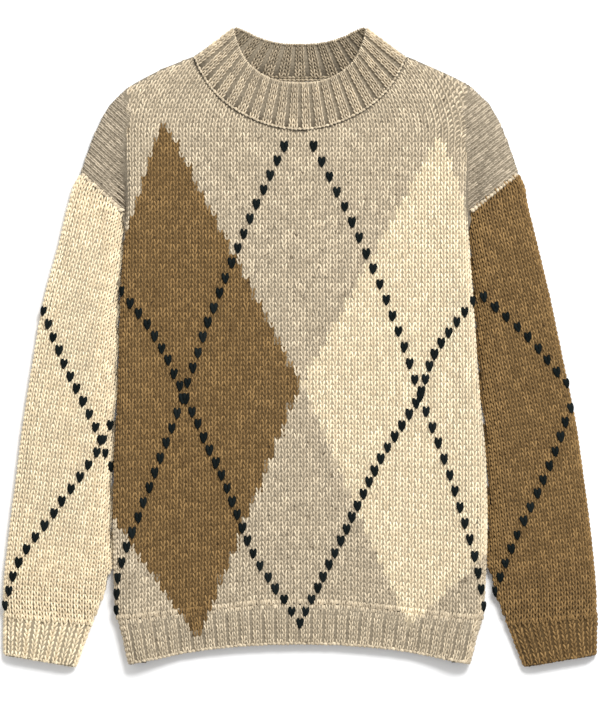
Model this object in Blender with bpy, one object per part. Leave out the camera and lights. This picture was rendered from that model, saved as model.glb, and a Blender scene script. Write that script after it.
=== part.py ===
"""Argyle crew-neck sweater of chunky knit, laid flat on its back.

The garment lies on z = 0 with its neck towards +Y and its front facing +Z. Its pieces are those that a
knitter makes and sews: front, back, two sleeves, and the ribbed hem, cuffs and neckband. Each is a wall
of knitted cloth. The body's sides are turned under, so the front wraps round to the underside and the
hidden part of the back lies folded inside that turn. Sizes are in millimetres until a mesh is made.
"""

from collections import namedtuple

import bpy
import numpy as np

# ---- driving dimensions (mm) ----
MM = 0.001
WALL = 5.0  # thickness of the knitted cloth
SEAM = 0.3  # gap between pieces where they are sewn
LAID_TOP = 11.0  # outer height of the front over the flat middle of the body
SHOULDER_TOP = 12.5  # outer height over the shoulders
CAP_TOP = 14.0  # outer height of the shoulder caps, outside the valley folds
SHOULDER_ROLL = 13.0  # how far in from the shoulder's outline the front stops curving
UNDERARM_Y = 145.0
ARMHOLE_TOP_Y = 184.0
SIDE_TURN_FROM_Y = 100.0  # the turned side opens into the armhole between here and the underarm
LAYERS_FADE_FROM_Y = 0.0  # the folded layers inside the side turn thin out from here upwards
NECK_HALF_WIDTH = 112.0
CREST_RISE_WIDTH = 80.0  # the front rises from its shoulders to its caps over this much of x
NECK_OPENS_WIDTH = 12.0  # beside the neck's corners, the shoulder's rounding turns into the neck's rim
BAND_MIDDLE = 6.5  # height of the neckband's folds at the shoulders
BAND_TOP = 15.0  # outer height of the front neckband's upper edge
BAND_FOLD = 9.0  # how far in from its folds the neckband stops curving
BAND_HEIGHT = 45.0
BAND_CORNER_CLEAR = 4.0  # the back of the neckband keeps off the back's corners under its own folds
BAND_CLEAR_FROM_X = 80.0
BAND_CLEAR_WIDTH = 20.0
BAND_RIBS = 20
BAND_RIB_RISE = 1.5
HEM_RIBS = 28
CUFF_RIBS = 7
RIB_RISE = 1.3
POINTS_A_RIB = 4
HEM_END_DROP = 0.6  # the hem's lower edge is rounded down by this
RIBS_END_OUT = -8.5  # the hem's ribs end at the side station this far out
SIDE_ROW_X = 190.0  # where a row's y is read for its turned sides
SLOPE_REACH = 2.0  # half the span over which the shoulder outline's slope is measured
STEP_UP = 6.0  # how far above the point where the sleeve leaves the body its inner edge follows the body

Edge = namedtuple("Edge", "y left right")
BODY_EDGES = (
    Edge(-334, -180, 178),
    Edge(-322, -183, 182),
    Edge(-307, -186, 185),
    Edge(-286, -191, 191),
    Edge(-254, -195, 194),
    Edge(-202, -197, 197),
    Edge(-112, -196, 196),
    Edge(-39, -192, 189),
    Edge(61, -189, 182),
    Edge(145, -183, 176),
)
SHOULDER_EDGES = (
    Edge(184, -231, 230),
    Edge(208, -223, 222),
    Edge(229, -215, 214),
    Edge(250, -204, 204),
    Edge(261, -197, 196),
    Edge(271, -186, 185),
    Edge(281, -170, 170),
    Edge(292, -149, 147),
    Edge(301, -128, 127),
    Edge(307, -112, 112),
)

# One side of the front's cross-section, from the laid top over the turned edge to the side seam. out is
# measured outwards from the body's edge. The side turn first shortens to a lip under the edge and then
# swings out to the armhole (arm); fade is the share of the way up to the shoulder where the
# valley fold beside the edge has closed; wall is the cloth's thickness there.
Station = namedtuple("Station", "out z lip_out lip_z arm_out arm_z fade wall")
SIDE_STATIONS = (
    Station(-58.0, 11.0, -58.0, 11.0, -58.0, 11.0, 1.00, 5.0),
    Station(-34.0, 14.0, -34.0, 14.0, -34.0, 13.6, 1.00, 5.0),
    Station(-18.0, 17.8, -18.0, 17.6, -18.0, 17.0, 1.00, 5.0),
    Station(-8.5, 17.6, -8.5, 17.4, -8.5, 17.0, 0.95, 4.8),
    Station(-2.5, 14.4, -2.5, 14.6, -2.5, 14.6, 0.90, 4.2),
    Station(0.0, 10.0, 0.0, 11.2, 0.0, 12.0, 0.85, 3.8),
    Station(-1.2, 5.8, 0.3, 9.9, 0.9, 10.8, 0.80, 3.2),
    Station(-4.0, 2.4, 0.4, 8.7, 2.0, 10.4, 0.70, 2.8),
    Station(-8.0, 0.6, 0.3, 7.5, 3.0, 10.4, 0.55, 2.6),
    Station(-12.0, 0.0, 0.0, 6.4, 4.0, 10.5, 0.40, 2.6),
    Station(-17.0, 0.0, -0.6, 5.5, 5.0, 10.7, 0.30, 2.6),
)

# One side of the back's cross-section. The bottom runs to the side seam and then out over the turned
# flap of the front; the top covers the layers folded inside the turn.
BackStation = namedtuple("BackStation", "bottom_out bottom_z top_out top_z flat_out")
BACK_STATIONS = (
    BackStation(-62.0, 0.0, -62.0, 5.0, -44.0),
    BackStation(-40.0, 0.0, -38.0, 7.2, -25.0),
    BackStation(-26.0, 0.0, -20.0, 11.0, -12.0),
    BackStation(-18.2, 0.0, -13.5, 11.0, -4.0),
    BackStation(-18.0, 3.5, -10.5, 9.4, -1.5),
    BackStation(-12.0, 3.7, -9.6, 6.6, 0.0),
)
SIDE_SEAM_GAP = 0.8  # at the side seam on the underside, where the rows of the two pieces differ a little

HemPlace = namedtuple("HemPlace", "x seam_y bottom_y")
HEM = (
    HemPlace(0, -269, -312),
    HemPlace(42, -270, -313),
    HemPlace(82, -274, -316),
    HemPlace(125, -279, -322),
    HemPlace(152, -282, -328),
    HemPlace(180, -285, -333),
    HemPlace(200, -286, -334),
)

NeckPlace = namedtuple("NeckPlace", "x y")
FRONT_NECK_SEAM = (
    NeckPlace(0, 229),
    NeckPlace(25, 232),
    NeckPlace(50, 240.5),
    NeckPlace(73, 253.5),
    NeckPlace(92, 271),
    NeckPlace(104, 289),
    NeckPlace(112, 307),
)
FRONT_BAND_EDGE = (
    NeckPlace(0, 278),
    NeckPlace(27, 281.5),
    NeckPlace(47, 292),
    NeckPlace(59, 305),
    NeckPlace(66, 320),
    NeckPlace(71, 337),
)
BACK_NECK_SEAM = (
    NeckPlace(0, 281),
    NeckPlace(50, 284),
    NeckPlace(90, 294),
    NeckPlace(112, 307),
)
BACK_BAND_EDGE = (
    NeckPlace(0, 320),
    NeckPlace(25, 321.5),
    NeckPlace(45, 327),
    NeckPlace(60, 334),
    NeckPlace(71, 338),
)

# The sleeve's rings, from the armhole seam to the cuff seam, each between a point of the sleeve's outer
# edge and one of its inner edge. height is the flattened sleeve's own.
SleeveRing = namedtuple("SleeveRing", "outer_y inner_y height")
SLEEVE_RINGS = (
    SleeveRing(184, 145, 13.0),
    SleeveRing(172, 133, 14.0),
    SleeveRing(152, 114, 14.6),
    SleeveRing(113, 86, 15.0),
    SleeveRing(61, 45, 15.0),
    SleeveRing(8, 0, 15.0),
    SleeveRing(-50, -52, 15.0),
    SleeveRing(-112, -108, 15.0),
    SleeveRing(-170, -168, 15.0),
    SleeveRing(-215, -217, 14.6),
    SleeveRing(-250, -254, 14.0),
    SleeveRing(-280, -288, 13.0),
)
CUFF_RINGS = (
    SleeveRing(-280, -288, 13.0),
    SleeveRing(-294, -304, 12.6),
    SleeveRing(-309, -320, 12.6),
    SleeveRing(-323, -336, 12.0),
)
SleeveEdge = namedtuple("SleeveEdge", "y left right")
SLEEVE_OUTER = (
    SleeveEdge(-323, -311, 311),
    SleeveEdge(-307, -311, 311),
    SleeveEdge(-280, -311, 312),
    SleeveEdge(-265, -312, 312),
    SleeveEdge(-202, -307, 307),
    SleeveEdge(-139, -299, 299),
    SleeveEdge(-76, -291, 290),
    SleeveEdge(-13, -281, 277),
    SleeveEdge(50, -270, 264),
    SleeveEdge(113, -253, 249),
    SleeveEdge(155, -243, 239),
    SleeveEdge(172, -238, 236),
    SleeveEdge(184, -231, 230),
)
SLEEVE_INNER = (
    SleeveEdge(-336, -235, 235),
    SleeveEdge(-317, -229, 228),
    SleeveEdge(-296, -221, 220),
    SleeveEdge(-275, -211, 210),
    SleeveEdge(-254, -203, 203),
    SleeveEdge(-233, -198.5, 198.5),
)
SLEEVE_LEAVES_BODY_Y = -233.0
SLEEVE_CLEAR = 0.6  # between the sleeve's inner edge and the body's edge
# A flattened tube's edge: how far in from the outermost point, and the shares of the height there.
TubeEdge = namedtuple("TubeEdge", "inset top bottom")
TUBE_EDGE = (
    TubeEdge(0.0, 0.42, 0.42),
    TubeEdge(1.6, 0.70, 0.15),
    TubeEdge(6.0, 0.88, 0.02),
    TubeEdge(14.0, 0.98, 0.0),
)
FLAT_NARROW = 0.3  # how much of the wall is added to the inside's inset at the tube's edges

MIDDLE_COLUMNS = 19
BODY_ROWS = 19
SHOULDER_ROWS = 7
ROLL_ROWS = (18.0, 9.0, 4.0, 1.3, 0.0)  # distances in from the shoulder's outline
BACK_MIDDLE_COLUMNS = 15
BACK_BODY_ROWS = 10
BACK_SHOULDER_ROWS = 4
BACK_CAP_COLUMNS = 3
BACK_ROLL_ROW = 12.0  # distance of the back's last full row from its upper boundary
HEM_ROWS = (1.0, 0.9, 0.45, 0.0)  # shares of the way from the hem's seam to its lower edge
HEM_BACK_ROWS = (1.0, 0.5, 0.0)
BAND_ROWS = (0.35, 0.7, 0.93, 1.0)  # shares of the way from the neckband's seam to its edge
BACK_BAND_POINTS = 24
SLEEVE_TOP_POINTS = 4
TUBE_LOW_POINTS = 2
BACK_EDGE_INSET = 4.0  # how far the back's underside stops short of its top, a rounded edge

Wool = namedtuple("Wool", "name colour")
OATMEAL = Wool("oatmeal_wool", (0.42, 0.36, 0.28, 1.0))
CREAM = Wool("cream_wool", (0.70, 0.61, 0.44, 1.0))
BROWN = Wool("brown_wool", (0.17, 0.105, 0.05, 1.0))


# ---- curves through the tables ----
def smooth(keys, values):
    """A smooth function through (key, value) pairs, held level past both ends."""
    order = np.argsort(keys)
    keys = np.array(keys, float)[order]
    values = np.array(values, float)[order]
    slopes = np.gradient(values, keys)

    def at(key):
        key = np.clip(key, keys[0], keys[-1])
        i = np.clip(np.searchsorted(keys, key) - 1, 0, len(keys) - 2)
        step = keys[i + 1] - keys[i]
        t = (key - keys[i]) / step
        near = values[i] * (1 + 2 * t) * (1 - t) ** 2 + slopes[i] * step * t * (1 - t) ** 2
        far = values[i + 1] * t * t * (3 - 2 * t) - slopes[i + 1] * step * t * t * (1 - t)
        return near + far

    return at


def column(table, name):
    return [getattr(row, name) for row in table]


def ease(t):
    t = np.clip(t, 0.0, 1.0)
    return t * t * (3 - 2 * t)


def rounded(distance, reach):
    """Rises from 0 at an outline to 1 at reach inside it, as a quarter of an ellipse."""
    return np.sqrt(1 - (1 - np.clip(distance / reach, 0, 1)) ** 2)


BODY_EDGE = {
    -1: smooth(column(BODY_EDGES, "y"), column(BODY_EDGES, "left")),
    1: smooth(column(BODY_EDGES, "y"), column(BODY_EDGES, "right")),
}
CAP_EDGE = {
    -1: smooth(column(SHOULDER_EDGES, "y"), column(SHOULDER_EDGES, "left")),
    1: smooth(column(SHOULDER_EDGES, "y"), column(SHOULDER_EDGES, "right")),
}
SHOULDER_LINE = {
    -1: smooth(column(SHOULDER_EDGES, "left"), column(SHOULDER_EDGES, "y")),
    1: smooth(column(SHOULDER_EDGES, "right"), column(SHOULDER_EDGES, "y")),
}
HEM_SEAM = smooth(column(HEM, "x"), column(HEM, "seam_y"))
HEM_BOTTOM = smooth(column(HEM, "x"), column(HEM, "bottom_y"))
FRONT_NECK = smooth(column(FRONT_NECK_SEAM, "x"), column(FRONT_NECK_SEAM, "y"))
BACK_NECK = smooth(column(BACK_NECK_SEAM, "x"), column(BACK_NECK_SEAM, "y"))
SLEEVE_OUT = {
    -1: smooth(column(SLEEVE_OUTER, "y"), column(SLEEVE_OUTER, "left")),
    1: smooth(column(SLEEVE_OUTER, "y"), column(SLEEVE_OUTER, "right")),
}
SLEEVE_LOW = {
    -1: smooth(column(SLEEVE_INNER, "y"), column(SLEEVE_INNER, "left")),
    1: smooth(column(SLEEVE_INNER, "y"), column(SLEEVE_INNER, "right")),
}


def top_line(x, neck):
    """The upper boundary of a panel over x: shoulder, neck seam, shoulder."""
    if abs(x) < NECK_HALF_WIDTH:
        return float(neck(abs(x)))
    side = -1 if x < 0 else 1
    return float(SHOULDER_LINE[side](x))


# ---- meshes ----
def wool_material(wool):
    material = bpy.data.materials.get(wool.name) or bpy.data.materials.new(wool.name)
    material.use_nodes = True
    shader = material.node_tree.nodes["Principled BSDF"]
    shader.inputs["Base Color"].default_value = wool.colour
    shader.inputs["Roughness"].default_value = 0.9
    shader.inputs["Metallic"].default_value = 0.0
    return material


def strip(first, second, backwards):
    """Quads between two rows of vertex numbers."""
    quads = zip(first[:-1], first[1:], second[1:], second[:-1])
    return [quad[::-1] if backwards else quad for quad in quads]


def wall_object(name, outer, inner, wool, tube=False):
    """A closed wall between two grids of points (rows, columns, 3), joined all round by rims.

    The outer grid faces out where columns run towards +X and rows towards +Y, seen from outside.
    In a tube the last column meets the first one."""
    rows, columns = outer.shape[:2]
    numbers = np.arange(rows * columns).reshape(rows, columns)
    if tube:
        numbers = np.hstack([numbers, numbers[:, :1]])
    outside = numbers.tolist()
    inside = (numbers + rows * columns).tolist()
    faces = []
    for low, high in zip(outside[:-1], outside[1:]):
        faces += strip(low, high, False)
    for low, high in zip(inside[:-1], inside[1:]):
        faces += strip(low, high, True)
    faces += strip(outside[0], inside[0], True)
    faces += strip(outside[-1], inside[-1], False)
    if not tube:
        faces += strip([row[0] for row in outside], [row[0] for row in inside], False)
        faces += strip([row[-1] for row in outside], [row[-1] for row in inside], True)
    points = np.vstack([outer.reshape(-1, 3), inner.reshape(-1, 3)]) * MM
    mesh = bpy.data.meshes.new(name)
    mesh.from_pydata(points.tolist(), [], faces)
    mesh.update()
    mesh.shade_smooth()
    mesh.set_sharp_from_angle(angle=1.0)
    mesh.materials.append(wool_material(wool))
    piece = bpy.data.objects.new(name, mesh)
    bpy.context.scene.collection.objects.link(piece)


def grid_normals(grid):
    """Unit normals of a grid of points, from the differences along its rows and columns."""
    across = np.gradient(grid, axis=1)
    along = np.gradient(grid, axis=0)
    normals = np.cross(across, along)
    return normals / np.linalg.norm(normals, axis=2, keepdims=True)


# ---- front ----
def turned(name, y):
    """A measure of every side station in the row at y: out or z, blended towards lip and arm."""
    turn = (y - SIDE_TURN_FROM_Y) / (UNDERARM_Y - SIDE_TURN_FROM_Y)
    side = np.array(column(SIDE_STATIONS, name))
    lip = np.array(column(SIDE_STATIONS, "lip_" + name))
    arm = np.array(column(SIDE_STATIONS, "arm_" + name))
    to_lip = ease(2 * turn)
    to_arm = ease(2 * turn - 1)
    return (side * (1 - to_lip) + lip * to_lip) * (1 - to_arm) + arm * to_arm


def side_section(side, y):
    """X and Z of one side's stations in the row at y, at or below the underarm."""
    return BODY_EDGE[side](y) + side * turned("out", y), turned("z", y)


def front_row(y_of, middles):
    """One row of the front, from the left side seam to the right one. y_of gives y over x, and middles
    are the shares of the laid top's width at which the columns between the two sides stand."""
    points = []
    left_y = y_of(-SIDE_ROW_X)
    right_y = y_of(SIDE_ROW_X)
    left_x, left_z = side_section(-1, left_y)
    right_x, right_z = side_section(1, right_y)
    for x, z in zip(left_x[::-1], left_z[::-1]):
        points.append((x, y_of(x), z))
    for share in middles:
        x = left_x[0] + (right_x[0] - left_x[0]) * share
        points.append((x, y_of(x), LAID_TOP))
    for x, z in zip(right_x, right_z):
        points.append((x, y_of(x), z))
    return points


def ruled_y(share):
    """y over x of a body row, share of the way from the underarm to the hem seam."""
    return lambda x: UNDERARM_Y + (float(HEM_SEAM(abs(x))) + SEAM - UNDERARM_Y) * share


def cap_top(side, count):
    """Points along the shoulder's outline for the columns of the shoulder cap, from the valley fold
    out to the armhole seam."""
    fold_x = float(BODY_EDGE[side](UNDERARM_Y))
    fold_y = float(SHOULDER_LINE[side](fold_x))
    heights = np.linspace(fold_y, ARMHOLE_TOP_Y, count + 1)[1:]
    return [(float(CAP_EDGE[side](y)), float(y)) for y in heights]


def outline_slant(x):
    """Cosine of the shoulder outline's slope at x, which turns a length along Y into a distance."""
    side = -1 if x < 0 else 1
    inner = float(SHOULDER_LINE[side](x - side * SLOPE_REACH))
    outer = float(SHOULDER_LINE[side](x + side * SLOPE_REACH))
    return 2 * SLOPE_REACH / np.hypot(2 * SLOPE_REACH, inner - outer)


def column_lengths(total, even_rows, near_edge):
    """Lengths along a column: even rows first, then rows at set distances from its upper end."""
    even = np.linspace(0, total - near_edge[0], even_rows + 1)[1:-1]
    return list(even) + [total - distance for distance in near_edge]


def upper_rows(base_row, neck, crest_of, edge_z, even_rows, near_edge, cap_count, fades):
    """Rows of a panel above the underarm. Each column of base_row runs straight up to the shoulder or
    neck; the outermost cap_count columns of each side fan out over the shoulder cap."""
    count = len(base_row)
    tops = []
    for i, (x, _, _) in enumerate(base_row):
        if i < cap_count:
            tops.append(cap_top(-1, cap_count)[cap_count - 1 - i])
        elif i >= count - cap_count:
            tops.append(cap_top(1, cap_count)[i - (count - cap_count)])
        else:
            tops.append((x, top_line(x, neck)))
    columns = []
    for (x, y, z), (top_x, top_y), fade in zip(base_row, tops, fades):
        total = float(np.hypot(top_x - x, top_y - y))
        slant = outline_slant(top_x) if abs(top_x) > NECK_HALF_WIDTH else 1.0
        open_neck = float(ease((NECK_HALF_WIDTH - abs(top_x)) / NECK_OPENS_WIDTH))
        places = []
        for length in column_lengths(total, even_rows, near_edge):
            share = length / total
            height = z + (crest_of(top_x) - z) * float(ease(share / fade))
            drop = float(rounded((total - length) * slant, SHOULDER_ROLL))
            drop += (1 - drop) * open_neck
            height = edge_z + (height - edge_z) * drop
            places.append((x + (top_x - x) * share, y + (top_y - y) * share, height))
        columns.append(places)
    return [list(row) for row in zip(*columns)]


def front_crest(x):
    """Outer height of the front near the upper boundary over x."""
    if abs(x) < NECK_HALF_WIDTH:
        return SHOULDER_TOP
    out = ease((abs(x) - NECK_HALF_WIDTH) / CREST_RISE_WIDTH)
    return SHOULDER_TOP + (CAP_TOP - SHOULDER_TOP) * float(out)


def side_walls(middles):
    """The cloth's thickness at each column of a front row."""
    walls = column(SIDE_STATIONS, "wall")
    return np.array(walls[::-1] + [WALL] * middles + walls)


def neck_columns(count, left, right):
    """Columns spaced evenly over the neck, corners included, as shares of the way from left to right."""
    return (np.linspace(-NECK_HALF_WIDTH, NECK_HALF_WIDTH, count) - left) / (right - left)


def in_seam_plane(offsets, direction):
    """Offsets without their plan component across direction, so that they stay in the seam's plane."""
    across = np.array((-direction[1], direction[0])) / np.hypot(direction[0], direction[1])
    kept = offsets.copy()
    kept[:, :2] -= np.outer(offsets[:, :2] @ across, across)
    return kept


def front_panel():
    """Builds the front and returns the plan points of its upper boundary: shoulder, neck, shoulder."""
    ends = [float(side_section(side, UNDERARM_Y)[0][0]) for side in (-1, 1)]
    middles = neck_columns(MIDDLE_COLUMNS, *ends)
    shares = np.linspace(1, 0, BODY_ROWS)
    rows = [front_row(ruled_y(share), middles) for share in shares]
    fades = column(SIDE_STATIONS, "fade")
    fades = fades[::-1] + [1.0] * MIDDLE_COLUMNS + fades
    edge_z = WALL + SEAM
    cap_count = sum(1 for s in SIDE_STATIONS if s.arm_out > 0)
    rows += upper_rows(
        rows[-1], FRONT_NECK, front_crest, edge_z, SHOULDER_ROWS, ROLL_ROWS, cap_count, fades
    )
    outer = np.array(rows)
    offsets = -grid_normals(outer) * side_walls(MIDDLE_COLUMNS)[None, :, None]
    for armhole in (0, -1):
        seam = outer[BODY_ROWS:, armhole]
        offsets[BODY_ROWS:, armhole] = in_seam_plane(offsets[BODY_ROWS:, armhole], seam[-1] - seam[0])
    at_neck = np.abs(outer[-1, :, 0]) < NECK_HALF_WIDTH
    offsets[-1, at_neck, :2] = 0.0
    inner = outer + offsets
    above = inner[BODY_ROWS:, :, 2]
    inner[BODY_ROWS:, :, 2] = np.maximum(above, edge_z)
    wall_object("front_panel", outer, inner, OATMEAL)
    return outer[-1, :, :2]


# ---- back ----
def back_row(y_of, middles, flatness):
    """The bottom and top points of one row of the back, left to right. flatness is 0 where the layers
    folded inside the side turn are full and 1 where the back is a plain sheet."""
    bottom = []
    top = []
    for side in (-1, 1):
        y_side = y_of(side * SIDE_ROW_X)
        edge = float(BODY_EDGE[side](y_side))
        seam_out = float(turned("out", y_side)[-1]) - SIDE_SEAM_GAP
        inwards = min(1.0, 2 * flatness)
        downwards = max(0.0, 2 * flatness - 1)
        low = []
        high = []
        for station in BACK_STATIONS:
            flat_low = seam_out + station.flat_out - BACK_EDGE_INSET
            flat_high = seam_out + station.flat_out
            low_out = station.bottom_out + (flat_low - station.bottom_out) * inwards
            high_out = station.top_out + (flat_high - station.top_out) * inwards
            low_z = station.bottom_z * (1 - downwards)
            high_z = station.top_z + (WALL - station.top_z) * flatness
            x = edge + side * low_out
            low.append((x, y_of(x), low_z))
            x = edge + side * high_out
            high.append((x, y_of(x), high_z))
        bottom.append(low)
        top.append(high)
    rows = []
    for left, right, z in ((bottom[0], bottom[1], 0.0), (top[0], top[1], WALL)):
        row = left[::-1]
        for share in middles:
            x = left[0][0] + (right[0][0] - left[0][0]) * share
            row.append((x, y_of(x), z))
        rows.append(row + right)
    return rows


def back_middles():
    seam_out = SIDE_STATIONS[-1].arm_out - SIDE_SEAM_GAP + BACK_STATIONS[0].flat_out
    ends = [float(BODY_EDGE[side](UNDERARM_Y)) + side * seam_out for side in (-1, 1)]
    return neck_columns(BACK_MIDDLE_COLUMNS, *ends)


def back_panel():
    """Builds the back and returns the plan points of its upper boundary, as front_panel does."""
    middles = back_middles()
    low_rows = []
    high_rows = []
    for share in np.linspace(1, 0, BACK_BODY_ROWS):
        y_of = ruled_y(share)
        faded = (y_of(SIDE_ROW_X) - LAYERS_FADE_FROM_Y) / (SIDE_TURN_FROM_Y - LAYERS_FADE_FROM_Y)
        flatness = float(ease(faded))
        low, high = back_row(y_of, middles, flatness)
        low_rows.append(low)
        high_rows.append(high)
    count = len(low_rows[-1])
    fades = [1.0] * count
    high_edge = (BACK_ROLL_ROW, SEAM)
    low_edge = (BACK_ROLL_ROW, BACK_EDGE_INSET)
    cap = BACK_CAP_COLUMNS

    def flat_crest(_):
        return WALL

    high_rows += upper_rows(
        high_rows[-1], BACK_NECK, flat_crest, WALL, BACK_SHOULDER_ROWS, high_edge, cap, fades
    )
    low_rows += upper_rows(
        low_rows[-1], BACK_NECK, flat_crest, 0.0, BACK_SHOULDER_ROWS, low_edge, cap, fades
    )
    low = np.array(low_rows)
    low[BACK_BODY_ROWS:, :, 2] = 0.0
    high = np.array(high_rows)
    # The underside faces down, so its columns run from right to left.
    wall_object("back_panel", low[:, ::-1], high[:, ::-1], OATMEAL)
    return high[-1, :, :2]


# ---- ribbed hem ----
def rib_wave(position):
    """0 in a rib's groove and 1 on its crest, with position counted in ribs."""
    return 0.5 - 0.5 * np.cos(2 * np.pi * position)


def hem_y(share):
    """y over x of a hem row, share of the way from its seam to the bottom edge."""

    def at(x):
        seam = float(HEM_SEAM(abs(x))) - SEAM
        return seam + (float(HEM_BOTTOM(abs(x))) - seam) * share

    return at


def hem_front():
    count = HEM_RIBS * POINTS_A_RIB
    skip = column(SIDE_STATIONS, "out").index(RIBS_END_OUT)
    rows = []
    for share in HEM_ROWS:
        y_of = hem_y(share)
        left_x, left_z = side_section(-1, y_of(-SIDE_ROW_X))
        right_x, right_z = side_section(1, y_of(SIDE_ROW_X))
        over_x = np.concatenate([left_x[skip::-1], right_x[: skip + 1]])
        over_z = np.concatenate([left_z[skip::-1], right_z[: skip + 1]])
        order = np.argsort(over_x)
        row = [(x, y_of(x), z) for x, z in zip(left_x[:skip:-1], left_z[:skip:-1])]
        for i in range(count + 1):
            x = left_x[skip] + (right_x[skip] - left_x[skip]) * i / count
            rise = RIB_RISE * float(rib_wave(i / POINTS_A_RIB))
            end = HEM_END_DROP if share == 1.0 else 0.0
            height = float(np.interp(x, over_x[order], over_z[order]))
            row.append((x, y_of(x), height + rise - end))
        row += [(x, y_of(x), z) for x, z in zip(right_x[skip + 1 :], right_z[skip + 1 :])]
        rows.append(row)
    outer = np.array(rows)
    plain = outer.copy()
    ribs = slice(len(SIDE_STATIONS) - skip - 1, len(SIDE_STATIONS) - skip + count)
    plain[:, ribs, 2] -= [RIB_RISE * float(rib_wave(i / POINTS_A_RIB)) for i in range(count + 1)]
    walls = column(SIDE_STATIONS, "wall")[skip + 1 :]
    walls = np.array(walls[::-1] + [WALL] * (count + 1) + walls)[None, :, None]
    inner = plain - grid_normals(plain) * walls
    inner[:, :, 1] = outer[:, :, 1]
    wall_object("hem_rib_front", outer, inner, OATMEAL)


def hem_back():
    middles = back_middles()
    low_rows = []
    high_rows = []
    for share in HEM_BACK_ROWS:
        low, high = back_row(hem_y(share), middles, 0.0)
        low_rows.append(low)
        high_rows.append(high)
    low = np.array(low_rows)
    high = np.array(high_rows)
    wall_object("hem_rib_back", low[:, ::-1], high[:, ::-1], OATMEAL)


# ---- sleeves and cuffs ----
def sleeve_inner_x(side, y):
    if y > SLEEVE_LEAVES_BODY_Y + STEP_UP:
        armhole = max(0.0, float(turned("out", y)[-1]))
        return float(BODY_EDGE[side](min(y, UNDERARM_Y))) + side * (SLEEVE_CLEAR + armhole)
    return float(SLEEVE_LOW[side](y))


def ring_ends(side, ring, shift):
    """The plan points of a ring's outer and inner edges, shifted along Y."""
    outer = np.array((float(SLEEVE_OUT[side](ring.outer_y)), ring.outer_y + shift))
    inner = np.array((sleeve_inner_x(side, ring.inner_y), ring.inner_y + shift))
    if ring.inner_y >= UNDERARM_Y:
        inner[0] = float(BODY_EDGE[side](UNDERARM_Y)) + side * SIDE_STATIONS[-1].arm_out
    return outer, inner


def tube_ring(ends, height, ribs, top_points):
    """A flattened tube's outer and inner loop between two plan points: over the top from the outer
    edge to the inner one and back underneath."""
    start, end = ends
    width = float(np.linalg.norm(end - start))
    way = (end - start) / width
    last = TUBE_EDGE[-1].inset
    over = [(e.inset, e.top) for e in TUBE_EDGE]
    under = [(e.inset, e.bottom) for e in TUBE_EDGE[1:]]
    middle = np.linspace(last, width - last, top_points + 2)[1:-1]
    loop = over + [(m, 1.0) for m in middle] + [(width - i, t) for i, t in over[::-1]]
    low_middle = np.linspace(width - last, last, TUBE_LOW_POINTS + 2)[1:-1]
    loop += [(width - i, b) for i, b in under] + [(m, 0.0) for m in low_middle] + under[::-1]
    outer = []
    inner = []
    half = height / 2
    inset = WALL * (1 + FLAT_NARROW)
    for across, share in loop:
        z = share * height
        narrowed = inset + across * (width - 2 * inset) / width
        inner_z = half + (z - half) * (half - WALL) / half
        raised = RIB_RISE * float(rib_wave(across / width * ribs)) if ribs and share > 0.6 else 0.0
        at = start + way * across
        outer.append((at[0], at[1], z + raised))
        at = start + way * narrowed
        inner.append((at[0], at[1], inner_z))
    return outer, inner


def tube_piece(name, side, rings, wool, shifts, ribs, top_points):
    outer = []
    inner = []
    for ring, shift in zip(rings, shifts):
        out, into = tube_ring(ring_ends(side, ring, shift), ring.height, ribs, top_points)
        outer.append(out)
        inner.append(into)
    outer = np.array(outer)[::-1]
    inner = np.array(inner)[::-1]
    if side > 0:  # the loop of a right sleeve runs the other way round
        outer = outer[:, ::-1]
        inner = inner[:, ::-1]
    wall_object(name, outer, inner, wool, tube=True)


def sleeve(side, wool):
    name = "sleeve_left" if side < 0 else "sleeve_right"
    shifts = [-2 * SEAM] + [0.0] * (len(SLEEVE_RINGS) - 2) + [0.5 * SEAM]
    tube_piece(name, side, SLEEVE_RINGS, wool, shifts, 0, SLEEVE_TOP_POINTS)


def cuff(side, wool):
    name = "cuff_left" if side < 0 else "cuff_right"
    shifts = [-0.5 * SEAM] + [0.0] * (len(CUFF_RINGS) - 1)
    points = (CUFF_RIBS - 2) * POINTS_A_RIB
    tube_piece(name, side, CUFF_RINGS, wool, shifts, CUFF_RIBS, points)


# ---- neckband ----
def half_curve(table):
    """A smooth plan curve through a table given for x >= 0, mirrored, over its share of length 0..1
    from the left end to the right one."""
    right = [(p.x, p.y) for p in table]
    places = np.array([(-x, y) for x, y in right[:0:-1]] + right, float)
    steps = np.linalg.norm(np.diff(places, axis=0), axis=1)
    along = np.concatenate([[0], np.cumsum(steps)])
    x_at = smooth(along / along[-1], places[:, 0])
    y_at = smooth(along / along[-1], places[:, 1])
    return (lambda share: np.array((float(x_at(share)), float(y_at(share))))), along[-1]


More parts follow.
